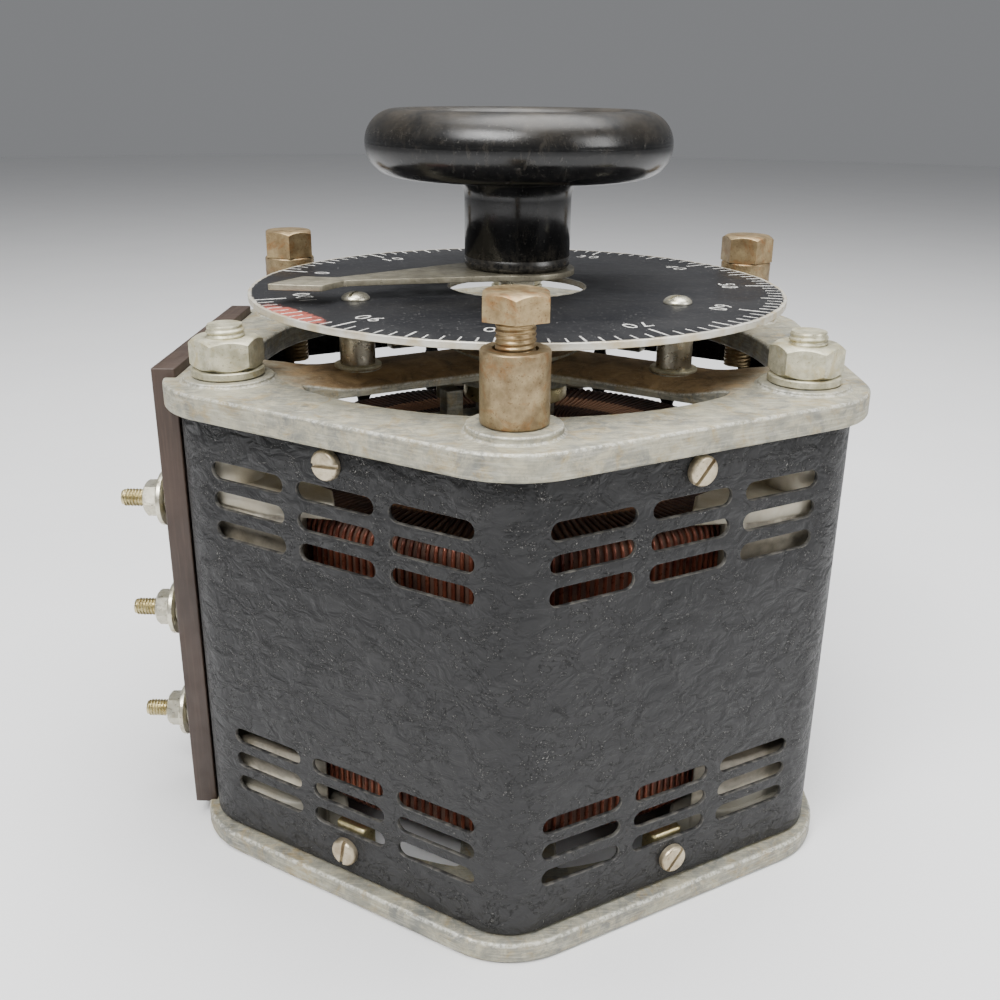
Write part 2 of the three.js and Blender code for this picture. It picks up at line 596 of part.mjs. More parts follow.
// The brush arm: a clamping hub, a flat arm and an upright stop tooth.
const BRUSH_HALF_LENGTH = 5;
const BRUSH_HALF_WIDTH = 3;
const HOLDER_WALL = 1.6;
const HOLDER_BOTTOM = WINDING_TOP + 2.2;
function brushArm() {
  const hub = bar(ARM_HUB_RADIUS, ARM_HUB_BOTTOM, ARM_HUB_TOP, 32);
  const arm = block(8, BRUSH_CIRCLE + 9.5, -6.5, 6.5, 105.6, 109);
  const tooth = block(17, 22, -STOP_TOOTH_HALF, STOP_TOOTH_HALF, 107, 117);
  const window = block(BRUSH_CIRCLE - BRUSH_HALF_LENGTH - HOLDER_WALL - CUT_GAP,
    BRUSH_CIRCLE + BRUSH_HALF_LENGTH + HOLDER_WALL + CUT_GAP, -BRUSH_HALF_WIDTH - HOLDER_WALL - CUT_GAP,
    BRUSH_HALF_WIDTH + HOLDER_WALL + CUT_GAP, 100, 114);
  return shaped(hub, [arm, tooth], [onShaft, window]).rotateZ(rad(POINTER_ANGLE));
}
addPart("brush_arm", brushArm(), castAluminium);

// The holder: a square brass sleeve closed at the top, with a flange that rests on the arm.
function brushHolder() {
  const x0 = BRUSH_CIRCLE - BRUSH_HALF_LENGTH;
  const x1 = BRUSH_CIRCLE + BRUSH_HALF_LENGTH;
  const w = BRUSH_HALF_WIDTH;
  const t = HOLDER_WALL;
  const sleeve = block(x0 - t, x1 + t, -w - t, w + t, HOLDER_BOTTOM, 115);
  const flange = block(x0 - t - 2, x1 + t + 2, -w - t - 1.4, w + t + 1.4, 109 + FIT, 110.4);
  const inside = block(x0 - CUT_GAP, x1 + CUT_GAP, -w - CUT_GAP, w + CUT_GAP, 90, 113.4);
  return shaped(sleeve, [flange], [inside]).rotateZ(rad(POINTER_ANGLE));
}
addPart("brush_holder", brushHolder(), brass);

const brush = block(BRUSH_CIRCLE - BRUSH_HALF_LENGTH, BRUSH_CIRCLE + BRUSH_HALF_LENGTH,
  -BRUSH_HALF_WIDTH, BRUSH_HALF_WIDTH, WINDING_TOP + FIT, 106);
addPart("brush", brush.rotateZ(rad(POINTER_ANGLE)), carbon);

const springBlock = bar(2.4, 106 + FIT, 113.4 - FIT, 16).translate(BRUSH_CIRCLE, 0, 0);
addPart("brush_spring", springBlock.rotateZ(rad(POINTER_ANGLE)), nickel);

export default variac;
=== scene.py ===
import math

import bmesh
import bpy
from mathutils import Matrix, Vector


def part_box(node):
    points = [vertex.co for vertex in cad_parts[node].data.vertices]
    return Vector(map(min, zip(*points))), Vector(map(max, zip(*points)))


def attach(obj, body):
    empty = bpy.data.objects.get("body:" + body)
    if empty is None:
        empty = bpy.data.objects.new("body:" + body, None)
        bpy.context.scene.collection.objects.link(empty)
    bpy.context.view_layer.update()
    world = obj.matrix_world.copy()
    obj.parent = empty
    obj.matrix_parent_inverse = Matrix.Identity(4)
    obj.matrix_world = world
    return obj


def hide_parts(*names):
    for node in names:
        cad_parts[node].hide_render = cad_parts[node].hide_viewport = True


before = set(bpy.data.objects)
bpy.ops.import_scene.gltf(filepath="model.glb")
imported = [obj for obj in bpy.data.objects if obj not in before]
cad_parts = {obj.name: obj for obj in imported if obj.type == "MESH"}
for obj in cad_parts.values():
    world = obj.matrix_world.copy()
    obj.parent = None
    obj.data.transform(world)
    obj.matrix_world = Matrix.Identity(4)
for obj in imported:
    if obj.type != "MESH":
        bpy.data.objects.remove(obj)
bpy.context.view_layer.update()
MM = 0.001
cos, sin, pi = math.cos, math.sin, math.pi
rad = math.radians

# ---- Where things are, in millimetres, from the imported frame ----


def span(node):
    """Lowest and highest corner of a CAD node, in millimetres."""
    low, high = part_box(node)
    return low / MM, high / MM


def polar(radius, angle):
    return radius * cos(rad(angle)), radius * sin(rad(angle))


POST_ANGLES = (-90, 30, 150)
ROD_ANGLES = (-30, 90, 210)
HARDWARE_RADIUS = 80
FACE_ANGLES = (-120, -60, 0, 60, 120)
TOP_UNDERSIDE = 121.0
TOP_SURFACE = 127.3
SPOKE_TOP = 126.6
SPOKE_EDGE_TOP = 124.5
SPOKE_UNDERSIDE = 122.6
SPOKE_HALF = 14.0
BASE_THICKNESS = 5.6
BASE_WINDOW_RADIUS = 67.5
BASE_SPOKE_HALF = 12.7
TOP_WINDOW_RADIUS = 69.5
LUG_DEPTH = 5
LUG_HALF = 4.5
LUG_LOWER_TOP = 19.6
LUG_UPPER_BOTTOM = 110.8
WINDING_INNER = 36.0
WINDING_OUTER = 72.0
WINDING_BOTTOM = 17.2
WINDING_TOP = 98.0
WINDING_ROUND = 5
WINDING_GAP_ANGLE = 183
ROD_BORE = 4.9
COVER_SCREW_HEIGHTS = (116.2, 13.2)
NUT_FLATS = 15.24
BOLT_FLATS = 13.34
POST_TOP = 144.8
DIAL_TOP = span("dial_plate")[1].z
DIAL_BOTTOM = span("dial_plate")[0].z
DIAL_RADIUS = 71.0
POINTER_ANGLE = -152.3
POINTER_TOP = span("pointer")[1].z
POINTER_BOTTOM = span("pointer")[0].z
STANDOFF_CIRCLE = 46.5

# ---- Camera, light and floor ----
CAMERA_PLACE = Vector((0.17, -297.03, 194.76))
CAMERA_YAW, CAMERA_PITCH, CAMERA_ROLL = -0.79, 20.88, 0.56
CAMERA_LENS = 39.44


def make_camera():
    yaw, pitch, roll = map(rad, (CAMERA_YAW, CAMERA_PITCH, CAMERA_ROLL))
    forward = Vector((sin(yaw) * cos(pitch), cos(yaw) * cos(pitch), -sin(pitch)))
    right = Vector((cos(yaw), -sin(yaw), 0))
    up = right.cross(forward)
    right, up = right * cos(roll) + up * sin(roll), up * cos(roll) - right * sin(roll)
    data = bpy.data.cameras.new("camera")
    data.lens = CAMERA_LENS
    data.sensor_width = 36
    data.clip_start = 0.01
    camera = bpy.data.objects.new("camera", data)
    turn = Matrix((right, up, -forward)).transposed()
    camera.matrix_world = Matrix.Translation(CAMERA_PLACE * MM) @ turn.to_4x4()
    bpy.context.scene.collection.objects.link(camera)
    bpy.context.scene.camera = camera


def area_light(name, place, target, size, power):
    data = bpy.data.lights.new(name, "AREA")
    data.shape = "RECTANGLE"
    data.size, data.size_y = size
    data.energy = power
    light = bpy.data.objects.new(name, data)
    light.location = place
    aim = Vector(target) - Vector(place)
    light.rotation_euler = aim.to_track_quat("-Z", "Y").to_euler()
    bpy.context.scene.collection.objects.link(light)


def make_stage():
    world = bpy.data.worlds.new("studio")
    world.use_nodes = True
    background = world.node_tree.nodes["Background"]
    background.inputs["Color"].default_value = (0.52, 0.53, 0.55, 1)
    background.inputs["Strength"].default_value = 0.42
    bpy.context.scene.world = world
    area_light("key", (-0.3, -0.6, 0.85), (0, 0, 0.1), (0.6, 0.4), 16.5)
    area_light("overhead", (0.1, 0.1, 1.0), (0, 0, 0.1), (0.8, 0.8), 16.5)
    area_light("fill", (0.8, -0.45, 0.5), (0, 0, 0.08), (0.4, 0.5), 5.1)
    bm = bmesh.new()
    bmesh.ops.create_circle(bm, cap_ends=True, segments=96, radius=3.0)
    mesh = bpy.data.meshes.new("floor")
    bm.to_mesh(mesh)
    bm.free()
    floor = bpy.data.objects.new("floor", mesh)
    bpy.context.scene.collection.objects.link(floor)
    floor.location.z = -0.0002
    floor.data.materials.append(FLOOR)


# ---- Materials ----


class Shader:
    """A Principled material with small helpers for its nodes; coordinates are in millimetres."""

    def __init__(self, name, roughness=0.5, metallic=0.0, **sockets):
        self.material = bpy.data.materials.new(name)
        self.material.use_nodes = True
        self.tree = self.material.node_tree
        self.surface = self.tree.nodes["Principled BSDF"]
        self.set("Roughness", roughness)
        self.set("Metallic", metallic)
        for socket, value in sockets.items():
            self.set(socket.replace("_", " "), value)
        coordinates = self.tree.nodes.new("ShaderNodeTexCoord")
        scale = self.tree.nodes.new("ShaderNodeMapping")
        scale.inputs["Scale"].default_value = (1 / MM,) * 3
        self.tree.links.new(coordinates.outputs["Object"], scale.inputs["Vector"])
        self.place = scale.outputs["Vector"]

    def connect(self, socket, value):
        """Links a node's output to a socket, or gives the socket a fixed value."""
        if hasattr(value, "links"):
            self.tree.links.new(value, socket)
        elif isinstance(value, tuple):
            socket.default_value = (*value, 1.0)
        else:
            socket.default_value = value

    def set(self, socket, value):
        self.connect(self.surface.inputs[socket], value)

    def feed(self, node, **values):
        for key, value in values.items():
            self.connect(node.inputs[key], value)
        return node

    def stretched(self, scale, source=None):
        node = self.tree.nodes.new("ShaderNodeMapping")
        node.inputs["Scale"].default_value = scale
        self.tree.links.new(source or self.place, node.inputs["Vector"])
        return node.outputs["Vector"]

    def noise(self, size, detail=3.0, roughness=0.5, distortion=0.0, place=None):
        """Noise with features of about the given size in millimetres."""
        node = self.tree.nodes.new("ShaderNodeTexNoise")
        self.feed(node, Vector=place or self.place, Scale=1.0 / size, Detail=detail, Roughness=roughness,
                  Distortion=distortion)
        return node.outputs["Fac"]

    def math(self, operation, a, b=0.0):
        node = self.tree.nodes.new("ShaderNodeMath")
        node.operation = operation
        for socket, value in zip(node.inputs, (a, b)):
            self.connect(socket, value)
        return node.outputs["Value"]

    def range(self, value, low, high, to_low=0.0, to_high=1.0):
        node = self.tree.nodes.new("ShaderNodeMapRange")
        for socket, entry in zip(node.inputs, (value, low, high, to_low, to_high)):
            self.connect(socket, entry)
        return node.outputs["Result"]

    def mix(self, factor, a, b):
        node = self.tree.nodes.new("ShaderNodeMix")
        node.data_type = "RGBA"
        for socket, value in ((node.inputs["Factor"], factor), (node.inputs[6], a), (node.inputs[7], b)):
            self.connect(socket, value)
        return node.outputs[2]

    def product(self, *factors):
        result = factors[0]
        for factor in factors[1:]:
            result = self.math("MULTIPLY", result, factor)
        return result

    def radius(self):
        """Distance from the shaft's axis."""
        x, y = self.axis("X"), self.axis("Y")
        return self.math("SQRT", self.math("ADD", self.product(x, x), self.product(y, y)))

    def axis(self, name, source=None):
        node = self.tree.nodes.new("ShaderNodeSeparateXYZ")
        self.tree.links.new(source or self.place, node.inputs["Vector"])
        return node.outputs[name]

    def normal_axis(self, name):
        geometry = self.tree.nodes.new("ShaderNodeNewGeometry")
        return self.axis(name, geometry.outputs["Normal"])

    def bump(self, height, distance):
        """Bump from a height in 0..1, where 1 stands for the given distance in millimetres."""
        node = self.tree.nodes.new("ShaderNodeBump")
        self.feed(node, Distance=distance * MM, Height=height)
        previous = self.surface.inputs["Normal"].links
        if previous:
            self.tree.links.new(previous[0].from_socket, node.inputs["Normal"])
        self.set("Normal", node.outputs["Normal"])


def floor_material():
    """Plain pale table top."""
    s = Shader("floor_pale", roughness=0.75)
    s.set("Base Color", s.mix(s.noise(60, 4), (0.78, 0.78, 0.785), (0.83, 0.83, 0.83)))
    return s.material


def cast_grain(s):
    """Fine brushed lines: along X on upward faces, level on upright ones."""
    upright = s.noise(0.5, 2, 0.5, 0.0, s.stretched((0.08, 0.08, 1.0)))
    level = s.noise(0.55, 3, 0.6, 0.3, s.stretched((0.1, 1.0, 0.1)))
    upward = s.range(s.normal_axis("Z"), 0.4, 0.8)
    return s.math("ADD", s.product(level, upward),
                  s.product(upright, s.math("SUBTRACT", 1.0, upward)))


def bare_casting(s):
    """The colour of the aged casting: blue-grey metal, cream crust, yellow stains, brushed lines and dirt,
    and rounded edges lightened by rubbed wear and a painted highlight.
    """
    grey = s.mix(s.range(s.noise(11, 6, 0.68, 1.0), 0.36, 0.62), (0.16, 0.162, 0.145), (0.33, 0.315, 0.24))
    crust = s.product(s.range(s.noise(3.4, 6, 0.78, 0.6), 0.47, 0.62), 0.7)
    crusted = s.mix(crust, grey, (0.44, 0.4, 0.285))
    stain = s.product(s.range(s.noise(8, 6, 0.75, 1.4), 0.52, 0.66), 0.65)
    stained = s.mix(stain, crusted, (0.3, 0.215, 0.085))
    grain = cast_grain(s)
    brushed = s.mix(s.product(s.range(grain, 0.53, 0.66), 0.26), stained, (0.56, 0.54, 0.46))
    brushed = s.mix(s.product(s.range(grain, 0.47, 0.34), 0.24), brushed, (0.1, 0.095, 0.08))
    speck = s.range(s.noise(0.75, 4, 0.7), 0.62, 0.7)
    specked = s.mix(s.product(speck, 0.5), brushed, (0.09, 0.075, 0.05))
    # Rounded edges between top and sides are lightened: partly rubbed wear, partly a painted highlight along
    # the edge.
    tilt = s.normal_axis("Z")
    edge_band = s.product(s.range(tilt, 0.15, 0.4), s.range(tilt, 0.97, 0.85))
    worn = s.product(edge_band, s.range(s.noise(1.3, 5, 0.78), 0.45, 0.58))
    return s.mix(s.product(worn, 0.6), specked, (0.66, 0.65, 0.58)), grain


def cast_alloy():
    """Aged cast aluminium."""
    s = Shader("cast_alloy", roughness=0.5, metallic=0.35)
    colour, grain = bare_casting(s)
    s.set("Base Color", colour)
    s.set("Roughness", s.range(s.noise(3, 5), 0.3, 0.7, 0.4, 0.66))
    s.bump(grain, 0.07)
    s.bump(s.noise(0.8, 5, 0.7), 0.12)
    s.bump(s.noise(6, 3), 0.3)
    return s.material


def hub_alloy():
    """The spokes and hub: the same casting under a brown film, which ends in patches near the rim."""
    s = Shader("spoke_alloy", roughness=0.62, metallic=0.22)
    colour, grain = bare_casting(s)
    tint = s.mix(s.range(s.noise(7, 6, 0.7, 1.0), 0.36, 0.64), (0.14, 0.088, 0.042), (0.36, 0.245, 0.125))
    crusted = s.mix(s.product(s.range(s.noise(1.5, 5, 0.75), 0.56, 0.7), 0.6), tint, (0.42, 0.34, 0.22))
    radius = s.radius()
    ragged = s.math("ADD", radius, s.range(s.noise(5, 6, 0.75), 0.3, 0.7, -6.0, 6.0))
    upward = s.range(s.normal_axis("Z"), 0.5, 0.9)
    cover = s.product(s.range(ragged, 73.0, 61.0), upward)
    s.set("Base Color", s.mix(cover, colour, crusted))
    s.bump(grain, 0.04)
    s.bump(s.noise(1.0, 5, 0.7), 0.2)
    s.bump(s.noise(5, 3), 0.3)
    return s.material


def wrinkle_paint():
    """Black hammered enamel: soft lumps with painted highlights on their tops, a fine grain and dark
    wandering cracks with a few bright specks.
    """
    s = Shader("wrinkle_paint", roughness=0.42, metallic=0.0, Specular_IOR_Level=0.24)
    warp = s.stretched((1.0, 1.0, 1.4))
    wave = s.noise(6.0, 3, 0.5, 0.7, warp)
    grain = s.noise(0.75, 3, 0.6)
    wander = s.noise(9, 5, 0.66, 1.5, warp)
    line = s.range(s.math("ABSOLUTE", s.math("SUBTRACT", wander, 0.5)), 0.0, 0.019, 1.0, 0.0)
    crack = s.product(line, s.range(s.noise(9, 3), 0.36, 0.52))
    speck = s.product(crack, s.range(s.noise(0.42, 2, 0.6), 0.57, 0.63))
    dark = s.mix(s.range(s.noise(26, 4), 0.3, 0.7), (0.0105, 0.0106, 0.011), (0.0178, 0.0176, 0.018))
    tone = s.mix(s.product(s.range(s.axis("Z"), 95, 30), 0.6), dark, (0.0262, 0.026, 0.0262))
    # Painted highlight: the tops of the lumps are lightened in the colour.
    lump_highlight = s.mix(s.product(s.range(wave, 0.5, 0.75), 0.35), tone, (0.036, 0.0358, 0.0355))
    cracked = s.mix(s.product(crack, 0.75), lump_highlight, (0.0035, 0.0035, 0.0038))
    stray = s.product(s.range(s.noise(0.6, 2, 0.6), 0.74, 0.78), 0.35)
    s.set("Base Color", s.mix(s.math("MAXIMUM", s.product(speck, 0.8), stray), cracked, (0.36, 0.35, 0.33)))
    s.set("Roughness", s.range(grain, 0.3, 0.7, 0.36, 0.54))
    s.bump(wave, 1.5)
    s.bump(grain, 0.08)
    s.bump(s.math("SUBTRACT", 1.0, crack), 0.22)
    return s.material


def enamel_edge():
    """The rounded rims and walls of the cover's slots, where the enamel is thin and holds dust."""
    s = Shader("enamel_edge", roughness=0.5, metallic=0.0, Specular_IOR_Level=0.35)
    worn = s.range(s.noise(2.2, 5, 0.7), 0.42, 0.62)
    s.set("Base Color", s.mix(worn, (0.016, 0.0158, 0.016), (0.085, 0.08, 0.07)))
    s.bump(s.noise(0.7, 3), 0.05)
    return s.material


def plated(name, dark, light, tarnish, roughness, metallic=0.85, amount=0.6):
    """Old plated steel: two tones, patches of tarnish, fine pits and a soft grain."""
    s = Shader(name, roughness=roughness, metallic=metallic)
    body = s.mix(s.range(s.noise(3.5, 5, 0.6), 0.35, 0.65), dark, light)
    patch = s.range(s.noise(4.5, 6, 0.7, 0.8), 0.52, 0.66)
    spots = s.range(s.noise(0.6, 3, 0.6), 0.6, 0.68)
    mixed = s.mix(s.product(patch, amount), body, tarnish)
    s.set("Base Color", s.mix(s.product(spots, 0.5), mixed, tuple(c * 0.35 for c in tarnish)))
    s.set("Roughness", s.range(s.noise(1.8, 4), 0.3, 0.7, roughness * 0.75, roughness * 1.3))
    s.bump(s.noise(0.5, 4, 0.6), 0.04)
    return s.material


def black_bakelite():
    """Black moulding: glossy on its sides, dulled on top by brown dust, streaks and hairline scuffs."""
    s = Shader("black_bakelite", roughness=0.2, metallic=0.0, IOR=1.5, Specular_IOR_Level=0.42)
    upward = s.range(s.normal_axis("Z"), 0.05, 0.9)
    streak = s.noise(1.6, 5, 0.7, 0.5, s.stretched((1.0, 1.0, 0.35)))
    bloom = s.product(s.range(s.noise(11, 5, 0.65), 0.34, 0.66), upward)
    base = s.mix(s.product(bloom, 0.75), (0.0045, 0.0045, 0.0045), (0.042, 0.034, 0.024))
    streaked = s.mix(s.product(s.range(streak, 0.52, 0.7), 0.3), base, (0.06, 0.052, 0.042))
    neck = s.product(s.range(s.axis("Z"), 156.0, 146.0), s.range(s.noise(1.4, 5, 0.7), 0.4, 0.62))
    dusted = s.mix(s.product(neck, 0.4), streaked, (0.16, 0.14, 0.11))
    dust = s.range(s.noise(0.8, 4, 0.7), 0.61, 0.71)
    s.set("Base Color", s.mix(s.product(dust, 0.25), dusted, (0.2, 0.19, 0.17)))
    haze = s.math("ADD", s.product(upward, 0.2), s.range(s.noise(7, 5, 0.65), 0.3, 0.7, 0.13, 0.28))
    s.set("Roughness", haze)
    s.bump(s.noise(0.7, 3), 0.014)
    s.bump(streak, 0.01)
    return s.material


def dial_face():
    """Black lacquer, rubbed thin and reddish where the pointer rests, with dust and bare edges."""
    s = Shader("dial_black", roughness=0.4, metallic=0.0, Specular_IOR_Level=0.16)
    x, y = s.axis("X"), s.axis("Y")
    radius = s.radius()
    edge = s.range(s.math("ADD", radius, s.range(s.noise(2.5, 4), 0.3, 0.7, -0.25, 0.25)), 69.9, 70.3)
    inner = s.range(s.math("ADD", radius, s.range(s.noise(1.5, 4), 0.3, 0.7, -0.3, 0.3)), 18.9, 18.6)
    dust = s.range(s.noise(0.7, 3, 0.7), 0.64, 0.72)
    black = s.mix(s.range(s.noise(18, 4), 0.3, 0.7), (0.0095, 0.0098, 0.0115), (0.021, 0.021, 0.022))
    wear_middle = polar(68, -141)
    wear_x = s.math("SUBTRACT", x, wear_middle[0])
    wear_y = s.math("SUBTRACT", y, wear_middle[1])
    tilt_a = s.math("ADD", s.product(wear_x, 0.63), s.product(wear_y, -0.78))
    tilt_b = s.math("ADD", s.product(wear_x, 0.78), s.product(wear_y, 0.63))
    reach = s.math("ADD", s.product(s.product(tilt_a, tilt_a), 0.004),
                   s.product(s.product(tilt_b, tilt_b), 0.06))
    worn = s.range(s.math("ADD", reach, s.range(s.noise(1.6, 6, 0.8), 0.3, 0.7, -0.8, 0.8)), 0.95, 0.45)
    reddened = s.mix(s.product(worn, 0.7), black, (0.42, 0.1, 0.07))
    dust_and_shade = s.mix(s.product(dust, 0.45), reddened, (0.45, 0.44, 0.42))
    side = s.range(s.math("ABSOLUTE", s.normal_axis("Z")), 0.85, 0.7)
    under = s.range(s.normal_axis("Z"), -0.4, -0.6)
    bare = s.math("MAXIMUM", s.math("MAXIMUM", edge, inner), s.math("MAXIMUM", side, under))
    metal = s.mix(s.range(s.noise(6, 5, 0.6), 0.4, 0.65), (0.62, 0.6, 0.53), (0.5, 0.42, 0.28))
    s.set("Base Color", s.mix(bare, dust_and_shade, metal))
    s.set("Metallic", s.product(bare, 0.55))
    s.set("Roughness", s.range(s.noise(9, 5, 0.6), 0.3, 0.7, 0.34, 0.55))
    s.bump(s.noise(0.5, 3), 0.01)
    return s.material


def dial_white():
    s = Shader("dial_marking", roughness=0.5)
    thin = s.range(s.noise(1.2, 4, 0.7), 0.4, 0.6)
    s.set("Base Color", s.mix(thin, (0.34, 0.33, 0.31), (0.72, 0.71, 0.67)))
    return s.material


def brown_laminate():
    """Phenolic paper board: brown, with fine plies along its edges and a satin face."""
    s = Shader("brown_laminate", roughness=0.5)
    plies = s.noise(0.45, 2, 0.5, 0.0, s.stretched((1.0, 0.04, 0.04)))
    tone = s.mix(s.range(s.noise(25, 4), 0.3, 0.7), (0.0294, 0.0175, 0.0119), (0.0518, 0.0315, 0.0217))
    s.set("Base Color", s.mix(s.range(plies, 0.48, 0.68, 0.0, 0.3), tone, (0.077, 0.049, 0.035)))
    s.set("Roughness", s.range(s.noise(5, 4), 0.3, 0.7, 0.4, 0.62))
    s.bump(plies, 0.03)
    s.bump(s.noise(2.0, 4), 0.05)
    return s.material


def enamelled_copper():
    """Wire enamel, red-brown, darkened on the winding's top by painted shade, and worn to copper under the
    brush.
    """
    s = Shader("enamelled_copper", roughness=0.32, metallic=0.4)
    radius = s.radius()
    inside = s.product(s.range(radius, 45.5, 46.5), s.range(radius, 56.5, 55.5))
    top = s.range(s.axis("Z"), 95.6, 97.0)
    track = s.product(inside, top)
    enamel = s.mix(s.range(s.noise(7, 5, 0.6), 0.35, 0.65), (0.11, 0.028, 0.017), (0.3, 0.095, 0.052))
    # Painted shade: darker_tone darkens the winding's top, which lies in shade under the top casting and
    # dial.
    darker_tone = s.mix(s.range(s.noise(3, 5, 0.7), 0.4, 0.65), (0.013, 0.0095, 0.0075), (0.04, 0.029, 0.021))
    dust_and_shade = s.mix(s.product(top, 0.85), enamel, darker_tone)
    s.set("Base Color", s.mix(s.product(track, 0.8), dust_and_shade, (0.36, 0.19, 0.11)))
    s.set("Roughness", s.range(s.math("ADD", s.noise(1.2, 3), top), 0.3, 1.6, 0.25, 0.6))
    s.bump(s.noise(0.5, 3), 0.02)
    return s.material


def cream_moulding():
    """Cream moulded clamps: greyer low down and browner beside the winding."""
    s = Shader("cream_moulding", roughness=0.5)
    cream = s.mix(s.range(s.noise(8, 5, 0.6), 0.35, 0.7), (0.5, 0.43, 0.3), (0.68, 0.64, 0.53))
    darker_tone = s.mix(s.range(s.noise(3, 5, 0.7), 0.35, 0.65), (0.1, 0.088, 0.066), (0.22, 0.195, 0.15))
    height = s.math("ADD", s.axis("Z"), s.range(s.noise(4, 4), 0.3, 0.7, -1.2, 1.2))
    # The cream turns browner from z about 22 up to the winding's top, and greyer below z about 20 to 23.
    skirt = s.product(s.range(height, 98.0, 96.5), s.range(height, 21.5, 24.0))
    tint = s.product(s.range(height, 23.0, 20.0), 0.7)
    greyed = s.mix(tint, cream, (0.2, 0.195, 0.17))
    s.set("Base Color", s.mix(s.product(skirt, 0.85), greyed, darker_tone))
    s.bump(s.noise(0.9, 4), 0.05)
    return s.material


def laminated_steel():
    s = Shader("core_steel", roughness=0.45, metallic=0.8)
    plies = s.noise(0.4, 1, 0.5, 0.0, s.stretched((0.03, 0.03, 1.0)))
    s.set("Base Color", s.mix(s.range(plies, 0.4, 0.6), (0.1, 0.1, 0.105), (0.3, 0.3, 0.31)))
    s.bump(plies, 0.05)
    return s.material


def carbon():
    s = Shader("carbon", roughness=0.55, metallic=0.1)
    s.set("Base Color", s.mix(s.noise(0.6, 4), (0.02, 0.02, 0.022), (0.06, 0.06, 0.062)))
    s.bump(s.noise(0.3, 3), 0.02)
    return s.material


FLOOR = floor_material()
CAST = cast_alloy()
SPOKE = hub_alloy()
WRINKLE = wrinkle_paint()
ENAMEL_EDGE = enamel_edge()
ZINC = plated("zinc_steel", (0.36, 0.34, 0.24), (0.64, 0.61, 0.46), (0.46, 0.37, 0.17), 0.42, 0.55, 0.55)
TANNED = plated("tanned_steel", (0.19, 0.135, 0.072), (0.36, 0.28, 0.16), (0.26, 0.12, 0.04), 0.42, 0.75, 0.7)
NICKEL = plated("pale_nickel", (0.5, 0.47, 0.37), (0.7, 0.67, 0.55), (0.42, 0.36, 0.18), 0.33, 0.85, 0.45)
STANDOFF = plated("standoff_nickel", (0.3, 0.27, 0.21), (0.5, 0.46, 0.37), (0.3, 0.2, 0.1), 0.3, 0.9, 0.5)
BRASS = plated("brass", (0.4, 0.33, 0.16), (0.62, 0.54, 0.31), (0.3, 0.22, 0.09), 0.33, 0.9, 0.45)
BAKELITE = black_bakelite()
DIAL = dial_face()
MARKING = dial_white()
LAMINATE = brown_laminate()
COPPER = enamelled_copper()
CREAM = cream_moulding()
CORE = laminated_steel()
CARBON = carbon()
GOLDEN = plated("golden_steel", (0.23, 0.16, 0.08), (0.42, 0.32, 0.175), (0.28, 0.125, 0.04), 0.4, 0.75, 0.7)
SCREW = plated("screw_steel", (0.34, 0.28, 0.19), (0.54, 0.47, 0.34), (0.3, 0.19, 0.1), 0.38, 0.75, 0.35)
POINTER = plated("pointer_nickel", (0.21, 0.19, 0.14), (0.35, 0.32, 0.24), (0.2, 0.18, 0.11), 0.4, 0.6, 0.3)
TAPE = plated("winding_tape", (0.1, 0.05, 0.035), (0.16, 0.08, 0.05), (0.08, 0.04, 0.03), 0.7, 0.0, 0.5)

# ---- Mesh helpers ----


def arc_angles(start, end, steps):
    return [start + (end - start) * k / steps for k in range(steps + 1)]


def softened(points, steps=4, closed=False):
    """Rounds the corners of a polyline. A point is (a, b) or (a, b, length cut back from the corner)."""
    out = []
    count = len(points)
    for i, point in enumerate(points):
        cut = point[2] if len(point) > 2 else 0
        here = Vector(point[:2])
        if not cut or (not closed and i in (0, count - 1)):
            out.append(here)
            continue
        before = Vector(points[i - 1][:2]) - here
        after = Vector(points[(i + 1) % count][:2]) - here
        start = here + before.normalized() * min(cut, before.length * 0.49)
        end = here + after.normalized() * min(cut, after.length * 0.49)
        for k in range(steps + 1):
            t = k / steps
            out.append(start * (1 - t) ** 2 + here * 2 * t * (1 - t) + end * t * t)
    return out


def revolve(bm, profile, sides=64, centre=(0, 0)):
    """A solid of revolution about Z from (radius, height, corner cut) points, added to bm."""
    rings = []
    for r, z in softened(profile):
        if r < 1e-6:
            rings.append([bm.verts.new((centre[0], centre[1], z))])
            continue
        turn = [2 * pi * k / sides for k in range(sides)]
        rings.append([bm.verts.new((centre[0] + r * cos(a), centre[1] + r * sin(a), z)) for a in turn])
    for low, high in zip(rings, rings[1:]):
        for k in range(sides):
            n = (k + 1) % sides
            corners = [low[k % len(low)], low[n % len(low)], high[n % len(high)], high[k % len(high)]]
            unique = list(dict.fromkeys(corners))
            if len(unique) > 2:
                bm.faces.new(unique)


def turned(profile, sides=64):
    bm = bmesh.new()
    closed = [*profile, profile[0]] if profile[0][0] > 0 and profile[-1][0] > 0 else profile
    revolve(bm, closed, sides)
    bmesh.ops.remove_doubles(bm, verts=bm.verts, dist=1e-5)
    return bm


def from_mesh(mesh):
    bm = bmesh.new()
    bm.from_mesh(mesh)
    bpy.data.meshes.remove(mesh)
    return bm


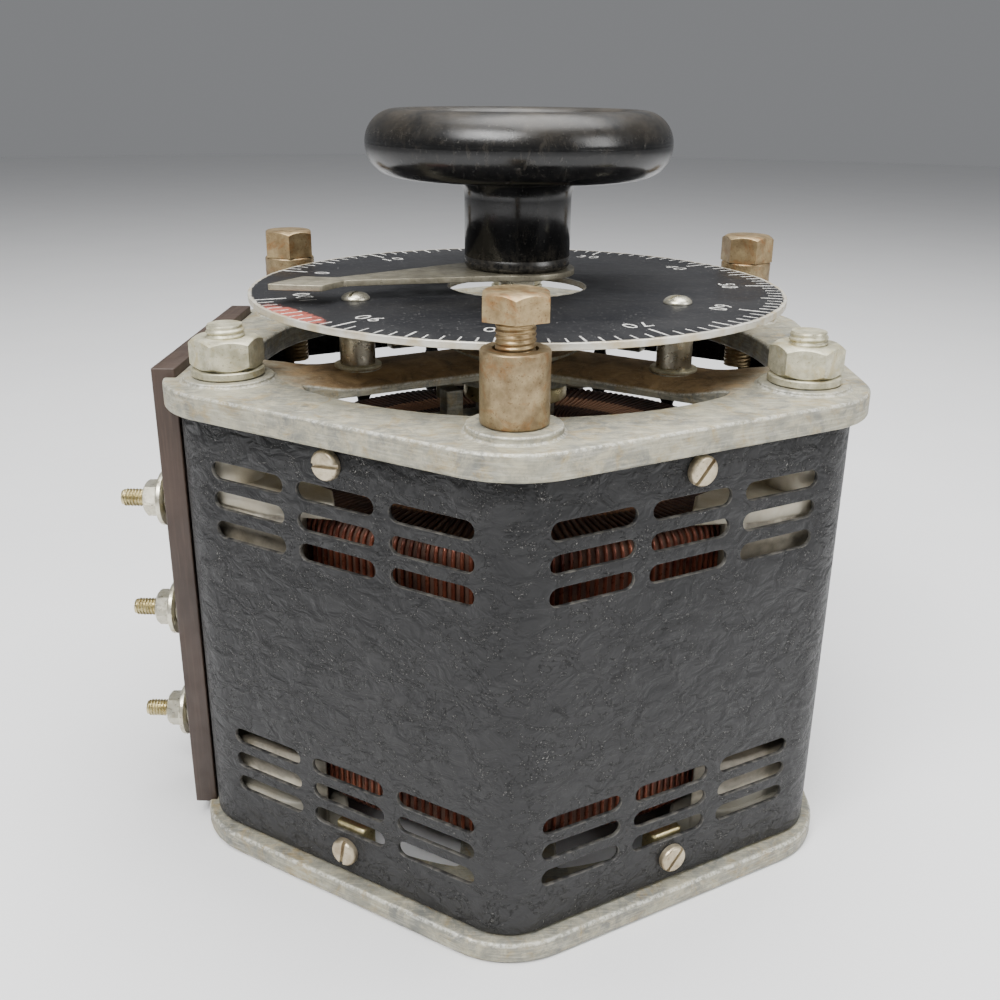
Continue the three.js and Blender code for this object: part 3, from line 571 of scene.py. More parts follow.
def plate(loops, bottom, top, edge=0.4, steps=3):
    """A flat plate from closed outlines, holes included, with rounded edges."""
    curve = bpy.data.curves.new("outline", "CURVE")
    curve.dimensions = "2D"
    curve.fill_mode = "BOTH"
    curve.extrude = (top - bottom) / 2 - edge
    curve.bevel_depth = edge
    curve.bevel_resolution = steps
    curve.offset = -edge
    for loop in loops:
        spline = curve.splines.new("POLY")
        spline.points.add(len(loop) - 1)
        for point, (x, y) in zip(spline.points, loop):
            point.co = (x, y, 0, 1)
        spline.use_cyclic_u = True
    holder = bpy.data.objects.new("outline", curve)
    bpy.context.scene.collection.objects.link(holder)
    graph = bpy.context.evaluated_depsgraph_get()
    bm = from_mesh(bpy.data.meshes.new_from_object(holder.evaluated_get(graph)))
    bpy.data.objects.remove(holder)
    bpy.data.curves.remove(curve)
    bmesh.ops.translate(bm, vec=(0, 0, (bottom + top) / 2), verts=bm.verts)
    bmesh.ops.remove_doubles(bm, verts=bm.verts, dist=1e-3)
    return bm


def circle(radius, sides):
    return [(radius * cos(2 * pi * k / sides), radius * sin(2 * pi * k / sides)) for k in range(sides)]


def rounded_hexagon(circumradius, corner, steps=10):
    middle = circumradius - corner / cos(rad(30))
    out = []
    for angle in (-90, -30, 30, 90, 150, 210):
        cx, cy = polar(middle, angle)
        for k in range(steps + 1):
            dx, dy = polar(corner, angle - 30 + 60 * k / steps)
            out.append((cx + dx, cy + dy))
    return out


def box_mesh(low, high, edge=0.4, steps=2):
    x0, y0, z0 = low
    x1, y1, z1 = high
    corner = edge * 1.5
    outline = softened([(x0, y0, corner), (x1, y0, corner), (x1, y1, corner), (x0, y1, corner)], 3, True)
    return plate([outline], z0, z1, edge, steps)


def as_object(bm):
    """A scratch object for boolean work."""
    mesh = bpy.data.meshes.new("scratch")
    bmesh.ops.recalc_face_normals(bm, faces=bm.faces)
    bm.to_mesh(mesh)
    bm.free()
    obj = bpy.data.objects.new("scratch", mesh)
    bpy.context.scene.collection.objects.link(obj)
    return obj


def combined(bm, joined=(), cut=(), kept=None):
    """Joins, cuts and, if kept is given, intersects meshes exactly."""
    target = as_object(bm)
    tools = [(as_object(tool), "UNION") for tool in joined]
    tools += [(as_object(tool), "DIFFERENCE") for tool in cut]
    if kept is not None:
        tools.append((as_object(kept), "INTERSECT"))
    for tool, operation in tools:
        modifier = target.modifiers.new("boolean", "BOOLEAN")
        modifier.object = tool
        modifier.operation = operation
        modifier.solver = "EXACT"
    graph = bpy.context.evaluated_depsgraph_get()
    result = from_mesh(bpy.data.meshes.new_from_object(target.evaluated_get(graph)))
    for obj in [target] + [tool for tool, _ in tools]:
        data = obj.data
        bpy.data.objects.remove(obj)
        bpy.data.meshes.remove(data)
    bmesh.ops.remove_doubles(result, verts=result.verts, dist=1e-4)
    return result


def append(bm, other):
    """Moves the contents of another mesh into bm."""
    mesh = bpy.data.meshes.new("part")
    other.to_mesh(mesh)
    other.free()
    bm.from_mesh(mesh)
    bpy.data.meshes.remove(mesh)


def moved(bm, place=(0, 0, 0), turn_z=0.0, turn_y=0.0):
    turn = Matrix.Rotation(rad(turn_z), 4, "Z") @ Matrix.Rotation(rad(turn_y), 4, "Y")
    bmesh.ops.transform(bm, matrix=Matrix.Translation(place) @ turn, verts=bm.verts)
    return bm


def finished(name, bm, material, replaces=(), body="frame", sharp=38):
    """Scales a mesh to metres, shades it smooth between its sharp edges and hands it to a body."""
    bmesh.ops.recalc_face_normals(bm, faces=bm.faces)
    bmesh.ops.scale(bm, vec=(MM,) * 3, verts=bm.verts)
    for face in bm.faces:
        face.smooth = True
    for edge in bm.edges:
        edge.smooth = not (edge.is_manifold and edge.calc_face_angle(0) > rad(sharp))
    mesh = bpy.data.meshes.new(name)
    bm.to_mesh(mesh)
    bm.free()
    obj = bpy.data.objects.new(name, mesh)
    bpy.context.scene.collection.objects.link(obj)
    for entry in material if isinstance(material, list) else [material]:
        obj.data.materials.append(entry)
    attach(obj, body)
    if replaces:
        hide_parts(*replaces)
    return obj


def paint_node(node, material):
    """Gives a CAD node that is kept as it is its material."""
    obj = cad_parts[node]
    obj.data.materials.clear()
    obj.data.materials.append(material)


def skinned(bm, rings, capped=True):
    """Joins a row of equal rings with faces and, if capped, closes both ends."""
    for first, second in zip(rings, rings[1:]):
        for k in range(len(first)):
            n = (k + 1) % len(first)
            bm.faces.new((first[k], first[n], second[n], second[k]))
    if capped:
        bm.faces.new(rings[0])
        bm.faces.new(rings[-1])


def thread(radius, pitch, bottom, top, depth, sides=40, per_turn=6):
    """A screwed rod: its surface rises and falls along one helix, ending in a small chamfer."""
    bm = bmesh.new()
    rows = max(2, int((top - bottom) / pitch * per_turn))
    rings = []
    for j in range(rows + 1):
        z = bottom + (top - bottom) * j / rows
        taper = min(1.0, (top - z) / pitch)
        ring = []
        for k in range(sides):
            phase = (z / pitch - k / sides) % 1.0
            groove = depth * (0.5 + 0.5 * cos(2 * pi * phase)) ** 1.3
            r = radius - groove * taper - depth * 1.2 * (1 - taper)
            a = 2 * pi * k / sides
            ring.append(bm.verts.new((r * cos(a), r * sin(a), z)))
        rings.append(ring)
    skinned(bm, rings)
    return bm


def hex_nut(flats, bottom, top, bore, turn=0, chamfer_bottom=False):
    """A hexagon with conical chamfers, and a bore if one is given."""
    corner = flats / math.sqrt(3)
    half = flats / 2
    hexagon = [polar(corner, turn + 60 * k) for k in range(6)]
    prism = plate([hexagon], bottom, top, 0.02, 0)
    drop = (corner - half) * 0.75
    low_start = half * 0.97 if chamfer_bottom else corner + 1
    high_start = half * 0.95
    cone = [(0, bottom - 0.001), (low_start, bottom - 0.001), (corner + 1, bottom + drop + 0.9),
            (corner + 1, top - drop - 0.9), (high_start, top + 0.001), (0, top + 0.001)]
    if not chamfer_bottom:
        cone[2] = (corner + 1, bottom + 0.1)
    hole = [turned([(0, bottom - 2), (bore, bottom - 2), (bore, top + 2), (0, top + 2)], 48)] if bore else []
    return combined(prism, cut=hole, kept=turned(cone, 72))


# ---- Castings ----
HEX_APOTHEM = cos(rad(30))


def window(angle, radius, spoke_half):
    """Outline of the opening between two straight spokes, seen from above."""
    def spoke_edge(side, along):
        turn = rad(angle - 60 * side)
        across = side * spoke_half
        return along * cos(turn) - across * sin(turn), along * sin(turn) + across * cos(turn)

    outer = math.sqrt(radius ** 2 - spoke_half ** 2)
    inner = spoke_half / math.tan(rad(60))
    first, last = spoke_edge(1, outer), spoke_edge(-1, outer)
    half = math.degrees(math.atan2(spoke_half, outer))
    low, high = angle - 60 + half, angle + 60 - half
    arc = [polar(radius, low + (high - low) * k / 24) for k in range(1, 24)]
    points = [(*spoke_edge(1, inner), 3.0), (*first, 1.5), *arc, (*last, 1.5)]
    return [tuple(p) for p in softened(points, 5, True)]


def board_notch(bottom, top):
    return box_mesh((-110, -40.5, bottom), (-82.0, 40.5, top), 0.01, 0)


def boss(bm, radius, bottom, top, centre):
    profile = [(ROD_BORE, top - 1.5), (ROD_BORE, top), (radius - 0.05, top, 0.55),
               (radius + 0.1, bottom + 0.3, 0.3), (radius + 0.9, bottom - 0.05), (radius + 0.6, bottom - 1.5)]
    revolve(bm, profile, 64, centre)


def smooth_step(low, high, value):
    t = min(1.0, max(0.0, (value - low) / (high - low)))
    return t * t * (3 - 2 * t)


def spoke_mesh(angle, mouth=TOP_WINDOW_RADIUS, fillet=3.0, soft=0.7):
    """A crowned spoke that rises to the rim's level and widens into it at its outer end."""
    start = math.sqrt((mouth - fillet) ** 2 - (SPOKE_HALF + fillet) ** 2)
    stations = [6, 14, 22, 30, 38, 46, 50, 53, 56, 59, 62]
    stations += [start + beyond for beyond in (0, 1, 2, 2.7, 2.95, 3.1)] + [70, 72]
    fall = SPOKE_TOP - SPOKE_EDGE_TOP
    bm = bmesh.new()
    rings = []
    for s in stations:
        over = max(0.0, s - start)
        widened = fillet - math.sqrt(fillet ** 2 - over ** 2) if over < fillet else fillet + 4
        half = SPOKE_HALF + widened
        lift = smooth_step(52, 68, s)
        across = [half - soft * (1 - cos(rad(a))) for a in (0, 30, 60, 90)]
        across += [(half - soft) * (1 - k / 9) for k in range(1, 10)]
        profile = [(half, SPOKE_UNDERSIDE)]
        for a in across:
            crown = SPOKE_TOP - fall * min(1.0, (a / SPOKE_HALF) ** 2)
            inward = min(1.0, max(0.0, (a - half + soft) / soft))
            rounded = soft * (1 - math.sqrt(1 - inward ** 2))
            profile.append((a, crown * (1 - lift) + (TOP_SURFACE - 0.03) * lift - rounded))
        mirrored = [(-a, z) for a, z in reversed(profile) if a > 1e-6]
        rings.append([bm.verts.new((s, a, z)) for a, z in profile + mirrored])
    skinned(bm, rings)
    return moved(bm, turn_z=angle)


def build_castings():
    outline = rounded_hexagon(98, 23.7, 12)
    windows = [window(a, BASE_WINDOW_RADIUS, BASE_SPOKE_HALF) for a in ROD_ANGLES]
    base = combined(plate([outline, *windows], 0, BASE_THICKNESS, 1.1, 4), cut=[board_notch(-5, 10)])
    finished("base_plate", base, CAST, ["base_casting"])
    hub = turned([(5.0, 6.0), (5.0, 16.0), (12.0, 16.0, 1.5), (22.0, 7.0, 2.0), (22.0, 0.4), (5.0, 0.4)], 72)
    finished("base_hub", hub, CAST)

    outline = rounded_hexagon(98.9, 22.9, 12)
    rim = plate([outline, circle(TOP_WINDOW_RADIUS, 120)], TOP_UNDERSIDE, TOP_SURFACE, 0.9, 4)
    rim = combined(rim, cut=[board_notch(115, 140)])
    bosses = bmesh.new()
    for angle in POST_ANGLES:
        boss(bosses, 10.3, TOP_SURFACE, 129.1, polar(HARDWARE_RADIUS, angle))
    for angle in ROD_ANGLES:
        boss(bosses, 10.8, TOP_SURFACE, 128.3, polar(HARDWARE_RADIUS, angle))
    finished("top_rim", rim, CAST, ["top_casting"])
    finished("top_bosses", bosses, CAST)
    spokes = bmesh.new()
    for angle in ROD_ANGLES:
        append(spokes, spoke_mesh(angle))
        pad = [(0, SPOKE_TOP - 1.5), (6.5, SPOKE_TOP - 1.5), (6.2, SPOKE_TOP, 0.2), (0, SPOKE_TOP)]
        revolve(spokes, pad, 40, polar(STANDOFF_CIRCLE, angle))
    finished("top_spokes", spokes, SPOKE)
    hub = turned([(8.3, 118.5), (8.3, 127.3), (17.0, 127.3, 0.8), (17.0, 118.5)], 72)
    revolve(hub, [(0, 112.5), (2.5, 112.5, 0.5), (2.5, 124), (0, 124)], 24, polar(19.5, 183))
    finished("top_hub", hub, SPOKE)

    apothem = COVER_RADIUS * HEX_APOTHEM - 1.5
    upper, lower = bmesh.new(), bmesh.new()
    for angle in FACE_ANGLES:
        for bm, low, high in ((lower, 1.0, LUG_LOWER_TOP), (upper, LUG_UPPER_BOTTOM, 125.3)):
            lug = box_mesh((apothem - LUG_DEPTH, -LUG_HALF, low), (apothem, LUG_HALF, high), 0.7, 3)
            append(bm, moved(lug, turn_z=angle))
    finished("lower_lugs", lower, BRASS)
    finished("upper_lugs", upper, CAST)


# ---- Perforated cover ----
COVER_RADIUS = 94.0
COVER_BEND = 14.4
COVER_SHEET = 1.2
COVER_BOTTOM = 6.4
COVER_TOP = 120.9
SLOT_LENGTH, SLOT_HEIGHT, SLOT_PITCH = 21.8, 4.4, 25.9
SLOT_ROWS = (108.3, 100.8, 93.2, 35, 27.8, 20.6)
FACE_SHIFTS = {-120: 1, -60: -1}
MOUTH_HALF = 33


def stadium(cx, cy, length, height, steps=9):
    half, r = (length - height) / 2, height / 2
    right = [(cx + half + r * cos(rad(a)), cy + r * sin(rad(a))) for a in arc_angles(-90, 90, steps)]
    left = [(cx - half + r * cos(rad(a)), cy + r * sin(rad(a))) for a in arc_angles(90, 270, steps)]
    return right + left


def build_cover():
    apothem = COVER_RADIUS * HEX_APOTHEM
    flat = COVER_RADIUS / 2 - COVER_BEND * math.tan(rad(30))
    bend = COVER_BEND * pi / 3
    pitch = 2 * flat + bend
    centre_radius = COVER_RADIUS - COVER_BEND / HEX_APOTHEM
    first, last = MOUTH_HALF, 6 * pitch - MOUTH_HALF
    loops = [[(first, COVER_BOTTOM), (last, COVER_BOTTOM), (last, COVER_TOP), (first, COVER_TOP)]]
    for index, angle in enumerate(FACE_ANGLES):
        for height in SLOT_ROWS:
            for column in (-1, 0, 1):
                middle = (index + 1) * pitch + column * SLOT_PITCH + FACE_SHIFTS.get(angle, 0)
                loops.append(stadium(middle, height, SLOT_LENGTH, SLOT_HEIGHT))
    bm = plate(loops, -COVER_SHEET, 0, 0.3, 2)
    bm.normal_update()
    for face in bm.faces:
        face.material_index = 0 if abs(face.normal.z) > 0.9 else 1
    for k in range(6):
        start = k * pitch + flat
        for j in range(13):
            cut = start + bend * j / 12
            everything = bm.verts[:] + bm.edges[:] + bm.faces[:]
            bmesh.ops.bisect_plane(bm, geom=everything, plane_co=(cut, 0, 0), plane_no=(1, 0, 0))
    for vert in bm.verts:
        along, height, depth = vert.co
        k = round(along / pitch)
        local = along - k * pitch
        face_angle = 180 + 60 * k
        if abs(local) <= flat:
            out = Vector(polar(apothem + depth, face_angle))
            side = Vector(polar(local, face_angle + 90))
            x, y = out + side
        else:
            sign = math.copysign(1, local)
            turn = face_angle + sign * math.degrees((abs(local) - flat) / COVER_BEND)
            middle = Vector(polar(centre_radius, face_angle + 30 * sign))
            x, y = middle + Vector(polar(COVER_BEND + depth, turn))
        vert.co = (x, y, height)
    finished("cover_sheet", bm, [WRINKLE, ENAMEL_EDGE], ["case_cover"], sharp=30)


def build_cover_screws():
    slot_angles = (5, 80, 50, 50, 15, 70, -30, 20, 65, -50)
    number = 0
    for angle in FACE_ANGLES:
        for height in COVER_SCREW_HEIGHTS:
            turn = slot_angles[number]
            number += 1
            head = turned([(0, 0.1), (3.6, 0.1, 0.15), (3.6, 1.5, 0.35), (3.15, 2.1, 0.3), (0, 2.1)], 48)
            slot = moved(box_mesh((-5, -0.5, 1.05), (5, 0.5, 3), 0.01, 0), turn_z=90 + turn)
            screw = combined(head, cut=[slot])
            append(screw, thread(1.9, 0.7, -7.6, 0.2, 0.3, 24))
            screw = moved(screw, turn_y=90)
            screw = moved(screw, (*polar(COVER_RADIUS * HEX_APOTHEM, angle), height), turn_z=angle)
            finished(f"screw_{number}", screw, SCREW, [f"cover_screw_{number}"])


# ---- Terminal board, studs and nuts ----
STUD_Y = -22
STUD_HEIGHTS = (89.1, 56.4, 23.7)


def build_terminals():
    board = box_mesh((-88.2, -40, 4.5), (-82.3, 40, 129.4), 0.3, 2)
    finished("board", board, LAMINATE, ["terminal_board"])
    for i, height in enumerate(STUD_HEIGHTS):
        place = (0, STUD_Y, height)
        stud = thread(2.4, 0.85, 82.2, 105.4, 0.35, 36)
        append(stud, turned([(0, 78.8), (4.6, 78.8, 0.5), (5.0, 79.5), (5.0, 82.2), (0, 82.2)], 40))
        finished(f"stud_{i + 1}", moved(stud, place, turn_y=-90), BRASS,
                 [f"terminal_stud_{i + 1}"])
        face = 88.3
        stack = turned([(2.7, face), (6.0, face, 0.2), (6.0, face + 1.1, 0.3), (2.7, face + 1.1)], 48)
        append(stack, hex_nut(8.6, face + 1.05, face + 4.95, 2.7, 10, chamfer_bottom=True))
        append(stack, turned([(2.7, face + 4.9), (7.4, face + 4.9, 0.2), (7.4, face + 6.3, 0.5),
                              (2.7, face + 6.3)], 56))
        append(stack, hex_nut(8.6, face + 6.2, face + 10.6, 2.7, 25, chamfer_bottom=True))
        finished(f"nuts_{i + 1}", moved(stack, place, turn_y=-90), NICKEL,
                 [f"terminal_nuts_{i + 1}"])


# ---- Winding: separate turns laid round an insulated ring ----
WIRE_RADIUS = 0.52
WIRE_TURNS = 208


def build_winding():
    inset = 2 * WIRE_RADIUS - 0.12
    r_in, r_out = WINDING_INNER + WINDING_ROUND, WINDING_OUTER - WINDING_ROUND
    z_low, z_high = WINDING_BOTTOM + WINDING_ROUND, WINDING_TOP - WINDING_ROUND
    section = []
    for cx, cz, start in ((r_out, z_low, -90), (r_out, z_high, 0), (r_in, z_high, 90), (r_in, z_low, 180)):
        section += [(cx, cz, a) for a in arc_angles(start, start + 90, 5)]
    def rounded(depth):
        r = WINDING_ROUND - depth
        return [(cx + r * cos(rad(a)), cz + r * sin(rad(a)), a) for cx, cz, a in section]

    former = [(r, z) for r, z, _ in rounded(inset)]
    ring = turned(former, 120)
    finished("winding_former", ring, TAPE, ["winding"])
    wires = bmesh.new()
    path = rounded(WIRE_RADIUS)
    sides = 6
    for t in range(WIRE_TURNS):
        centre = rad(WINDING_GAP_ANGLE + 8 + 344 * t / (WIRE_TURNS - 1))
        c, s = cos(centre), sin(centre)
        rings = []
        for r, z, a in path:
            out_r, out_z = cos(rad(a)), sin(rad(a))
            ring = []
            for k in range(sides):
                q = 2 * pi * (k + 0.5) / sides
                lift, side = WIRE_RADIUS * cos(q), WIRE_RADIUS * sin(q)
                x, y = r + out_r * lift, side
                ring.append(wires.verts.new((x * c - y * s, x * s + y * c, z + out_z * lift)))
            rings.append(ring)
        skinned(wires, [*rings, rings[0]], capped=False)
    finished("winding_turns", wires, COPPER, sharp=75)
    paint_node("core", CORE)


# ---- Clamps and tie rods ----
def corner_plan(reach, spread, tip, tip_spread, apothem, nose):
    """Outline of a clamp's flange or skirt, for a corner that points along +X."""
    def on_face(y):
        return (apothem - y / 2) / HEX_APOTHEM, y

    tip_x, tip_y = polar(tip, tip_spread)
    upper = [(*on_face(nose), 3.0), (*on_face(tip_y * 0.62), 3.0), (tip_x, tip_y, 1.2)]
    lower = [(x, -y, cut) for x, y, cut in reversed(upper)]
    inner = [polar(reach, a) for a in arc_angles(spread, -spread, 10)]
    return [tuple(p) for p in softened([*lower, *upper, *inner], 4, True)]


def build_clamps():
    flange_plan = corner_plan(66.5, 19, 72.5, 25, 78.6, 4.5)
    skirt_plan = corner_plan(72.8, 17, 75.5, 18.5, 77.4, 4)
    pedestal_plan = corner_plan(72.8, 19, 75.5, 21.5, 77.4, 4)
    kinds = (
        ("lower", (5.7, 27.2), (5.9, WINDING_BOTTOM - 0.1), pedestal_plan, (6.1, 31.5)),
        ("upper", (88, 120.9), (WINDING_TOP + 0.1, 102.7), skirt_plan, (83.7, 101.7)),
    )
    for i, angle in enumerate(ROD_ANGLES):
        for kind, (low, high), flange_range, outer_plan, outer_range in kinds:
            pillar = turned([(0, low), (8.2, low, 0.8), (8.2, high, 0.8), (0, high)], 56)
            pillar = moved(pillar, (HARDWARE_RADIUS + 1, 0, 0))
            flange = plate([flange_plan], *flange_range, 0.9, 3)
            skirt = plate([outer_plan], *outer_range, 0.6, 3)
            bore = turned([(0, 0), (ROD_BORE, 0), (ROD_BORE, 140), (0, 140)], 40)
            bore = moved(bore, (HARDWARE_RADIUS, 0, 0))
            clamp = moved(combined(pillar, joined=[flange, skirt], cut=[bore]), turn_z=angle)
            finished(f"{kind}_support_{i + 1}", clamp, CREAM,
                     [f"{kind}_clamp_{i + 1}"])


def spring_washer(inner, outer, bottom, top):
    bm = bmesh.new()
    steps, lift = 70, (top - bottom) * 0.06
    rings = []
    for k in range(steps + 1):
        a = rad(8 + 344 * k / steps)
        rise = lift * k / steps
        high = top - lift + rise
        low = bottom + rise
        soft = 0.2
        corners = ((inner, low), (outer - soft, low), (outer, low + soft), (outer, high - soft),
                   (outer - soft, high), (inner + soft, high), (inner, high - soft))
        rings.append([bm.verts.new((r * cos(a), r * sin(a), z)) for r, z in corners])
    skinned(bm, rings)
    return bm


def build_tie_rods():
    gap_turns = (75, 60, 105)
    nut_turns = (-15, 0, 19)
    for i, angle in enumerate(ROD_ANGLES):
        x, y = polar(HARDWARE_RADIUS, angle)
        rod = turned([(0, 1.2), (8, 1.2, 0.6), (8, 3.3), (4.5, 3.3), (4.5, 128), (0, 128)], 40)
        append(rod, thread(4.6, 1.25, 127, 140.6, 0.42, 44, 8))
        finished(f"rod_{i + 1}", moved(rod, (x, y, 0)), ZINC, [f"tie_rod_{i + 1}"])
        ring = moved(spring_washer(5.0, 8.7, 128.45, 130.3), (x, y, 0), turn_z=gap_turns[i])
        finished(f"spring_washer_{i + 1}", ring, ZINC, [f"rod_washer_{i + 1}"])
        nut = moved(hex_nut(NUT_FLATS, 130.4, 137.6, 4.45, nut_turns[i], chamfer_bottom=True), (x, y, 0))
        finished(f"nut_{i + 1}", nut, ZINC, [f"rod_nut_{i + 1}"])


def build_posts():
    places = ((-90, 150.7, 5.7, 90), (30, 144.9, 7.6, 100), (150, 144.9, 7.6, 102))
    for i, (angle, low, height, turn) in enumerate(places):
        x, y = polar(HARDWARE_RADIUS, angle)
        post = turned([(4.75, 129.2), (4.75, POST_TOP), (7.0, POST_TOP, 0.2), (7.3, 144.4, 0.2),
                       (7.3, 129.5, 0.2), (7.0, 129.2)], 64)
        finished(f"post_{i + 1}", moved(post, (x, y, 0)), TANNED,
                 [f"panel_post_{i + 1}"])
        bolt = hex_nut(BOLT_FLATS, low, low + height, 0, turn)
        append(bolt, thread(4.2, 1.15, low - 32, low + 0.2, 0.26, 40, 8))
        finished(f"bolt_{i + 1}", moved(bolt, (x, y, 0)), GOLDEN,
                 [f"panel_bolt_{i + 1}"])


# ---- Dial ----
TICK_TOP = 0.05


def dial_angle(value):
    return -77.6 - 3.22 * (value - 75)


def build_dial():
    disc = plate([circle(DIAL_RADIUS, 240), circle(18.3, 96)], DIAL_BOTTOM, DIAL_TOP, 0.18, 2)
    finished("dial", disc, DIAL, ["dial_plate"])
    ticks = bmesh.new()
    for value in range(101):
        start, half = (62.2, 0.3) if value % 10 == 0 else (64.4, 0.26) if value % 5 == 0 else (66.2, 0.21)
        corners = []
        for r, side in ((start, -half), (69.9, -half), (69.9, half), (start, half)):
            turn = rad(dial_angle(value))
            corners.append((r * cos(turn) - side * sin(turn), r * sin(turn) + side * cos(turn)))
        low = [ticks.verts.new((x, y, DIAL_TOP - 0.05)) for x, y in corners]
        high = [ticks.verts.new((x, y, DIAL_TOP + TICK_TOP)) for x, y in corners]
        ticks.faces.new(low)
        ticks.faces.new(high)
        for k in range(4):
            ticks.faces.new((low[k], low[(k + 1) % 4], high[(k + 1) % 4], high[k]))
    for value in range(0, 101, 10):
        text = bpy.data.curves.new("numeral", "FONT")
        text.body = str(value)
        text.size = 6.6
        text.align_x = "CENTER"
        text.align_y = "CENTER"
        text.extrude = TICK_TOP
        text.offset = -0.05
        text.space_character = 1.22
        text.resolution_u = 4
        holder = bpy.data.objects.new("numeral", text)
        bpy.context.scene.collection.objects.link(holder)
        graph = bpy.context.evaluated_depsgraph_get()
        numeral = from_mesh(bpy.data.meshes.new_from_object(holder.evaluated_get(graph)))
        bpy.data.objects.remove(holder)
        bpy.data.curves.remove(text)
        bmesh.ops.remove_doubles(numeral, verts=numeral.verts, dist=1e-4)
        turn = dial_angle(value)
        append(ticks, moved(numeral, (*polar(57.3, turn), DIAL_TOP), turn_z=turn - 90))
    finished("dial_marks", ticks, MARKING, sharp=30)

    for i, angle in enumerate(ROD_ANGLES):
        x, y = polar(STANDOFF_CIRCLE, angle)
        low, high = SPOKE_TOP + 0.1, DIAL_BOTTOM - 0.1
        pillar = turned([(0, low), (4.2, low, 0.2), (4.5, low + 0.5, 0.2), (4.5, high - 0.5, 0.2),
                         (4.2, high, 0.2), (0, high)], 56)
        finished(f"standoff_{i + 1}", moved(pillar, (x, y, 0)), STANDOFF,
                 [f"dial_standoff_{i + 1}"])
        foot = turned([(4.3, SPOKE_TOP + 0.02), (6.0, SPOKE_TOP + 0.02, 0.2), (6.0, SPOKE_TOP + 0.85, 0.3),
                       (4.3, SPOKE_TOP + 0.85)], 48)
        finished(f"standoff_washer_{i + 1}", moved(foot, (x, y, 0)), ZINC)
        top = DIAL_TOP
        head = turned([(0, top + 0.1), (3.6, top + 0.1), (3.6, top + 0.45, 0.15), (3.2, top + 1.1, 0.4),
                       (2.0, top + 1.75, 0.6), (0, top + 1.95)], 48)
        slot = moved(box_mesh((-5, -0.42, top + 1.05), (5, 0.42, top + 3), 0.01, 0), turn_z=(35, -20, 70)[i])
        screw = combined(head, cut=[slot])
        revolve(screw, [(0, top - 7), (1.7, top - 7), (1.7, top + 0.12), (0, top + 0.12)], 20)
        finished(f"small_screw_{i + 1}", moved(screw, (x, y, 0)), NICKEL,
                 [f"dial_screw_{i + 1}"])


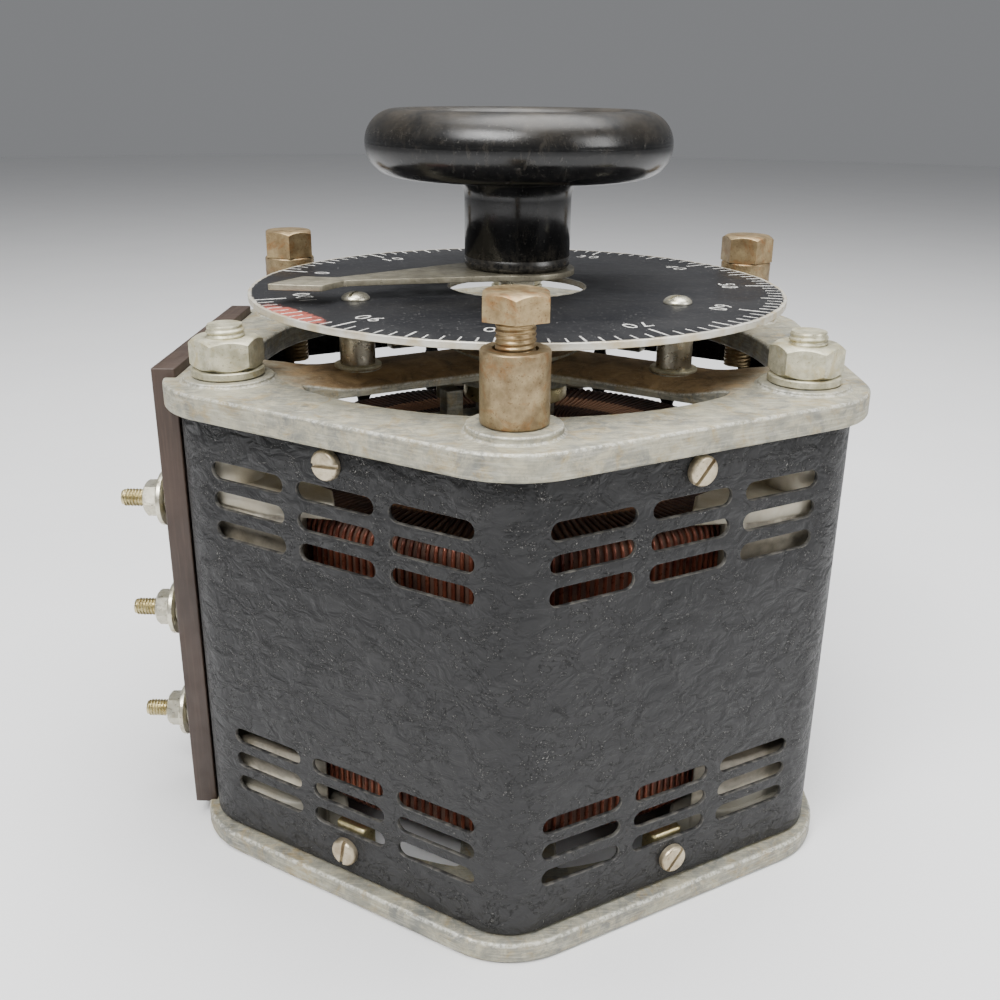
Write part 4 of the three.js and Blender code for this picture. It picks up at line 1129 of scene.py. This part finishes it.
# ---- Rotor ----
def build_rotor():
    bush = turned([(4.85, 118), (8, 118), (8, 127.42), (12.5, 127.42, 0.4), (12.5, 130.2, 0.5),
                   (11.6, 130.6, 0.4), (9.2, 131.4, 0.6), (8.6, 134, 0.4), (4.85, 134)], 64)
    finished("bush", bush, BRASS, ["shaft_bush"])
    rod = turned([(0, 6.5), (4.2, 6.5), (4.7, 7.0), (4.7, 175.4), (4.2, 176), (0, 176)], 48)
    finished("spindle", rod, NICKEL, ["shaft"], "rotor")

    rim_r, rim_z, round_r = 31.4, 180.2, 8.2
    low = span("knob")[0].z
    profile = [(0, low + 0.05), (4.9, low + 0.05), (13.3, low, 0.3), (14.0, low + 0.8, 0.4), (14.0, 151.6),
               (13.85, 151.75), (14.0, 151.9), (14.05, 168.4, 1.8), (15.6, 171.2, 1.4), (24, 171.75)]
    for a in arc_angles(-90, 0, 16)[:-1]:
        profile.append((rim_r + round_r * cos(rad(a)), rim_z + round_r * sin(rad(a))))
    profile += [(rim_r + round_r - 0.02, rim_z - 0.15), (rim_r + round_r, rim_z + 0.1),
                (rim_r + round_r - 0.05, rim_z + 0.35)]
    for a in arc_angles(4, 96, 16):
        profile.append((rim_r + round_r * cos(rad(a)), rim_z + round_r * sin(rad(a))))
    profile += [(rim_r - 3, rim_z + 7.3, 1.0), (rim_r - 5.2, rim_z + 3.9, 1.2),
                (rim_r - 7.4, rim_z + 0.7, 1.6), (16, rim_z + 0.05, 2), (0, rim_z)]
    knob = turned(profile, 128)
    finished("handwheel", knob, BAKELITE, ["knob"], "rotor", sharp=50)

    edge = [(0, 14.4), (49.6, 2.6, 1.0), (57, 7.5, 0.8)]
    mirrored_edge = [(x, -y, *cut) for x, y, *cut in edge]
    outline = softened([*mirrored_edge, (68.2, 0, 0.5), *reversed(edge)], 4, True)
    arm = plate([[tuple(p) for p in outline]], POINTER_BOTTOM, POINTER_TOP, 0.18, 2)
    disc = plate([circle(15.4, 96)], POINTER_BOTTOM, POINTER_TOP, 0.18, 2)
    hand = moved(combined(arm, joined=[disc]), turn_z=POINTER_ANGLE)
    finished("hand", hand, POINTER, ["pointer"], "rotor")

    ring = turned([(5.0, 113.4), (14.3, 113.4, 0.3), (14.3, 117.4, 0.5), (5.0, 117.4)], 72)
    finished("collector", ring, BRASS, ["slip_ring"], "rotor")
    hub = turned([(5.0, 103), (11, 103, 0.6), (11, 113.3, 0.6), (5.0, 113.3)], 64)
    shaft_hole = turned([(0, 90), (5.0, 90), (5.0, 120), (0, 120)], 48)
    arm = box_mesh((8, -6.5, 105.6), (60.5, 6.5, 109), 0.5, 2)
    tooth = box_mesh((17, -2.5, 107), (22, 2.5, 117), 0.4, 2)
    opening = box_mesh((44.1, -4.9, 100), (57.9, 4.9, 114), 0.01, 0)
    arm = combined(hub, joined=[arm, tooth], cut=[shaft_hole, opening])
    finished("arm", moved(arm, turn_z=POINTER_ANGLE), CAST, ["brush_arm"], "rotor")
    sleeve = box_mesh((44.4, -4.6, 100.2), (57.6, 4.6, 115), 0.3, 2)
    flange = box_mesh((42.4, -6.0, 109.1), (59.6, 6.0, 110.4), 0.25, 2)
    inside = box_mesh((45.7, -3.3, 90), (56.3, 3.3, 113.4), 0.01, 0)
    holder = moved(combined(sleeve, joined=[flange], cut=[inside]), turn_z=POINTER_ANGLE)
    finished("holder", holder, BRASS, ["brush_holder"], "rotor")
    paint_node("brush", CARBON)
    paint_node("brush_spring", NICKEL)


def main():
    make_camera()
    build_castings()
    build_cover()
    build_cover_screws()
    build_terminals()
    build_winding()
    build_clamps()
    build_tie_rods()
    build_posts()
    build_dial()
    build_rotor()
    make_stage()


main()
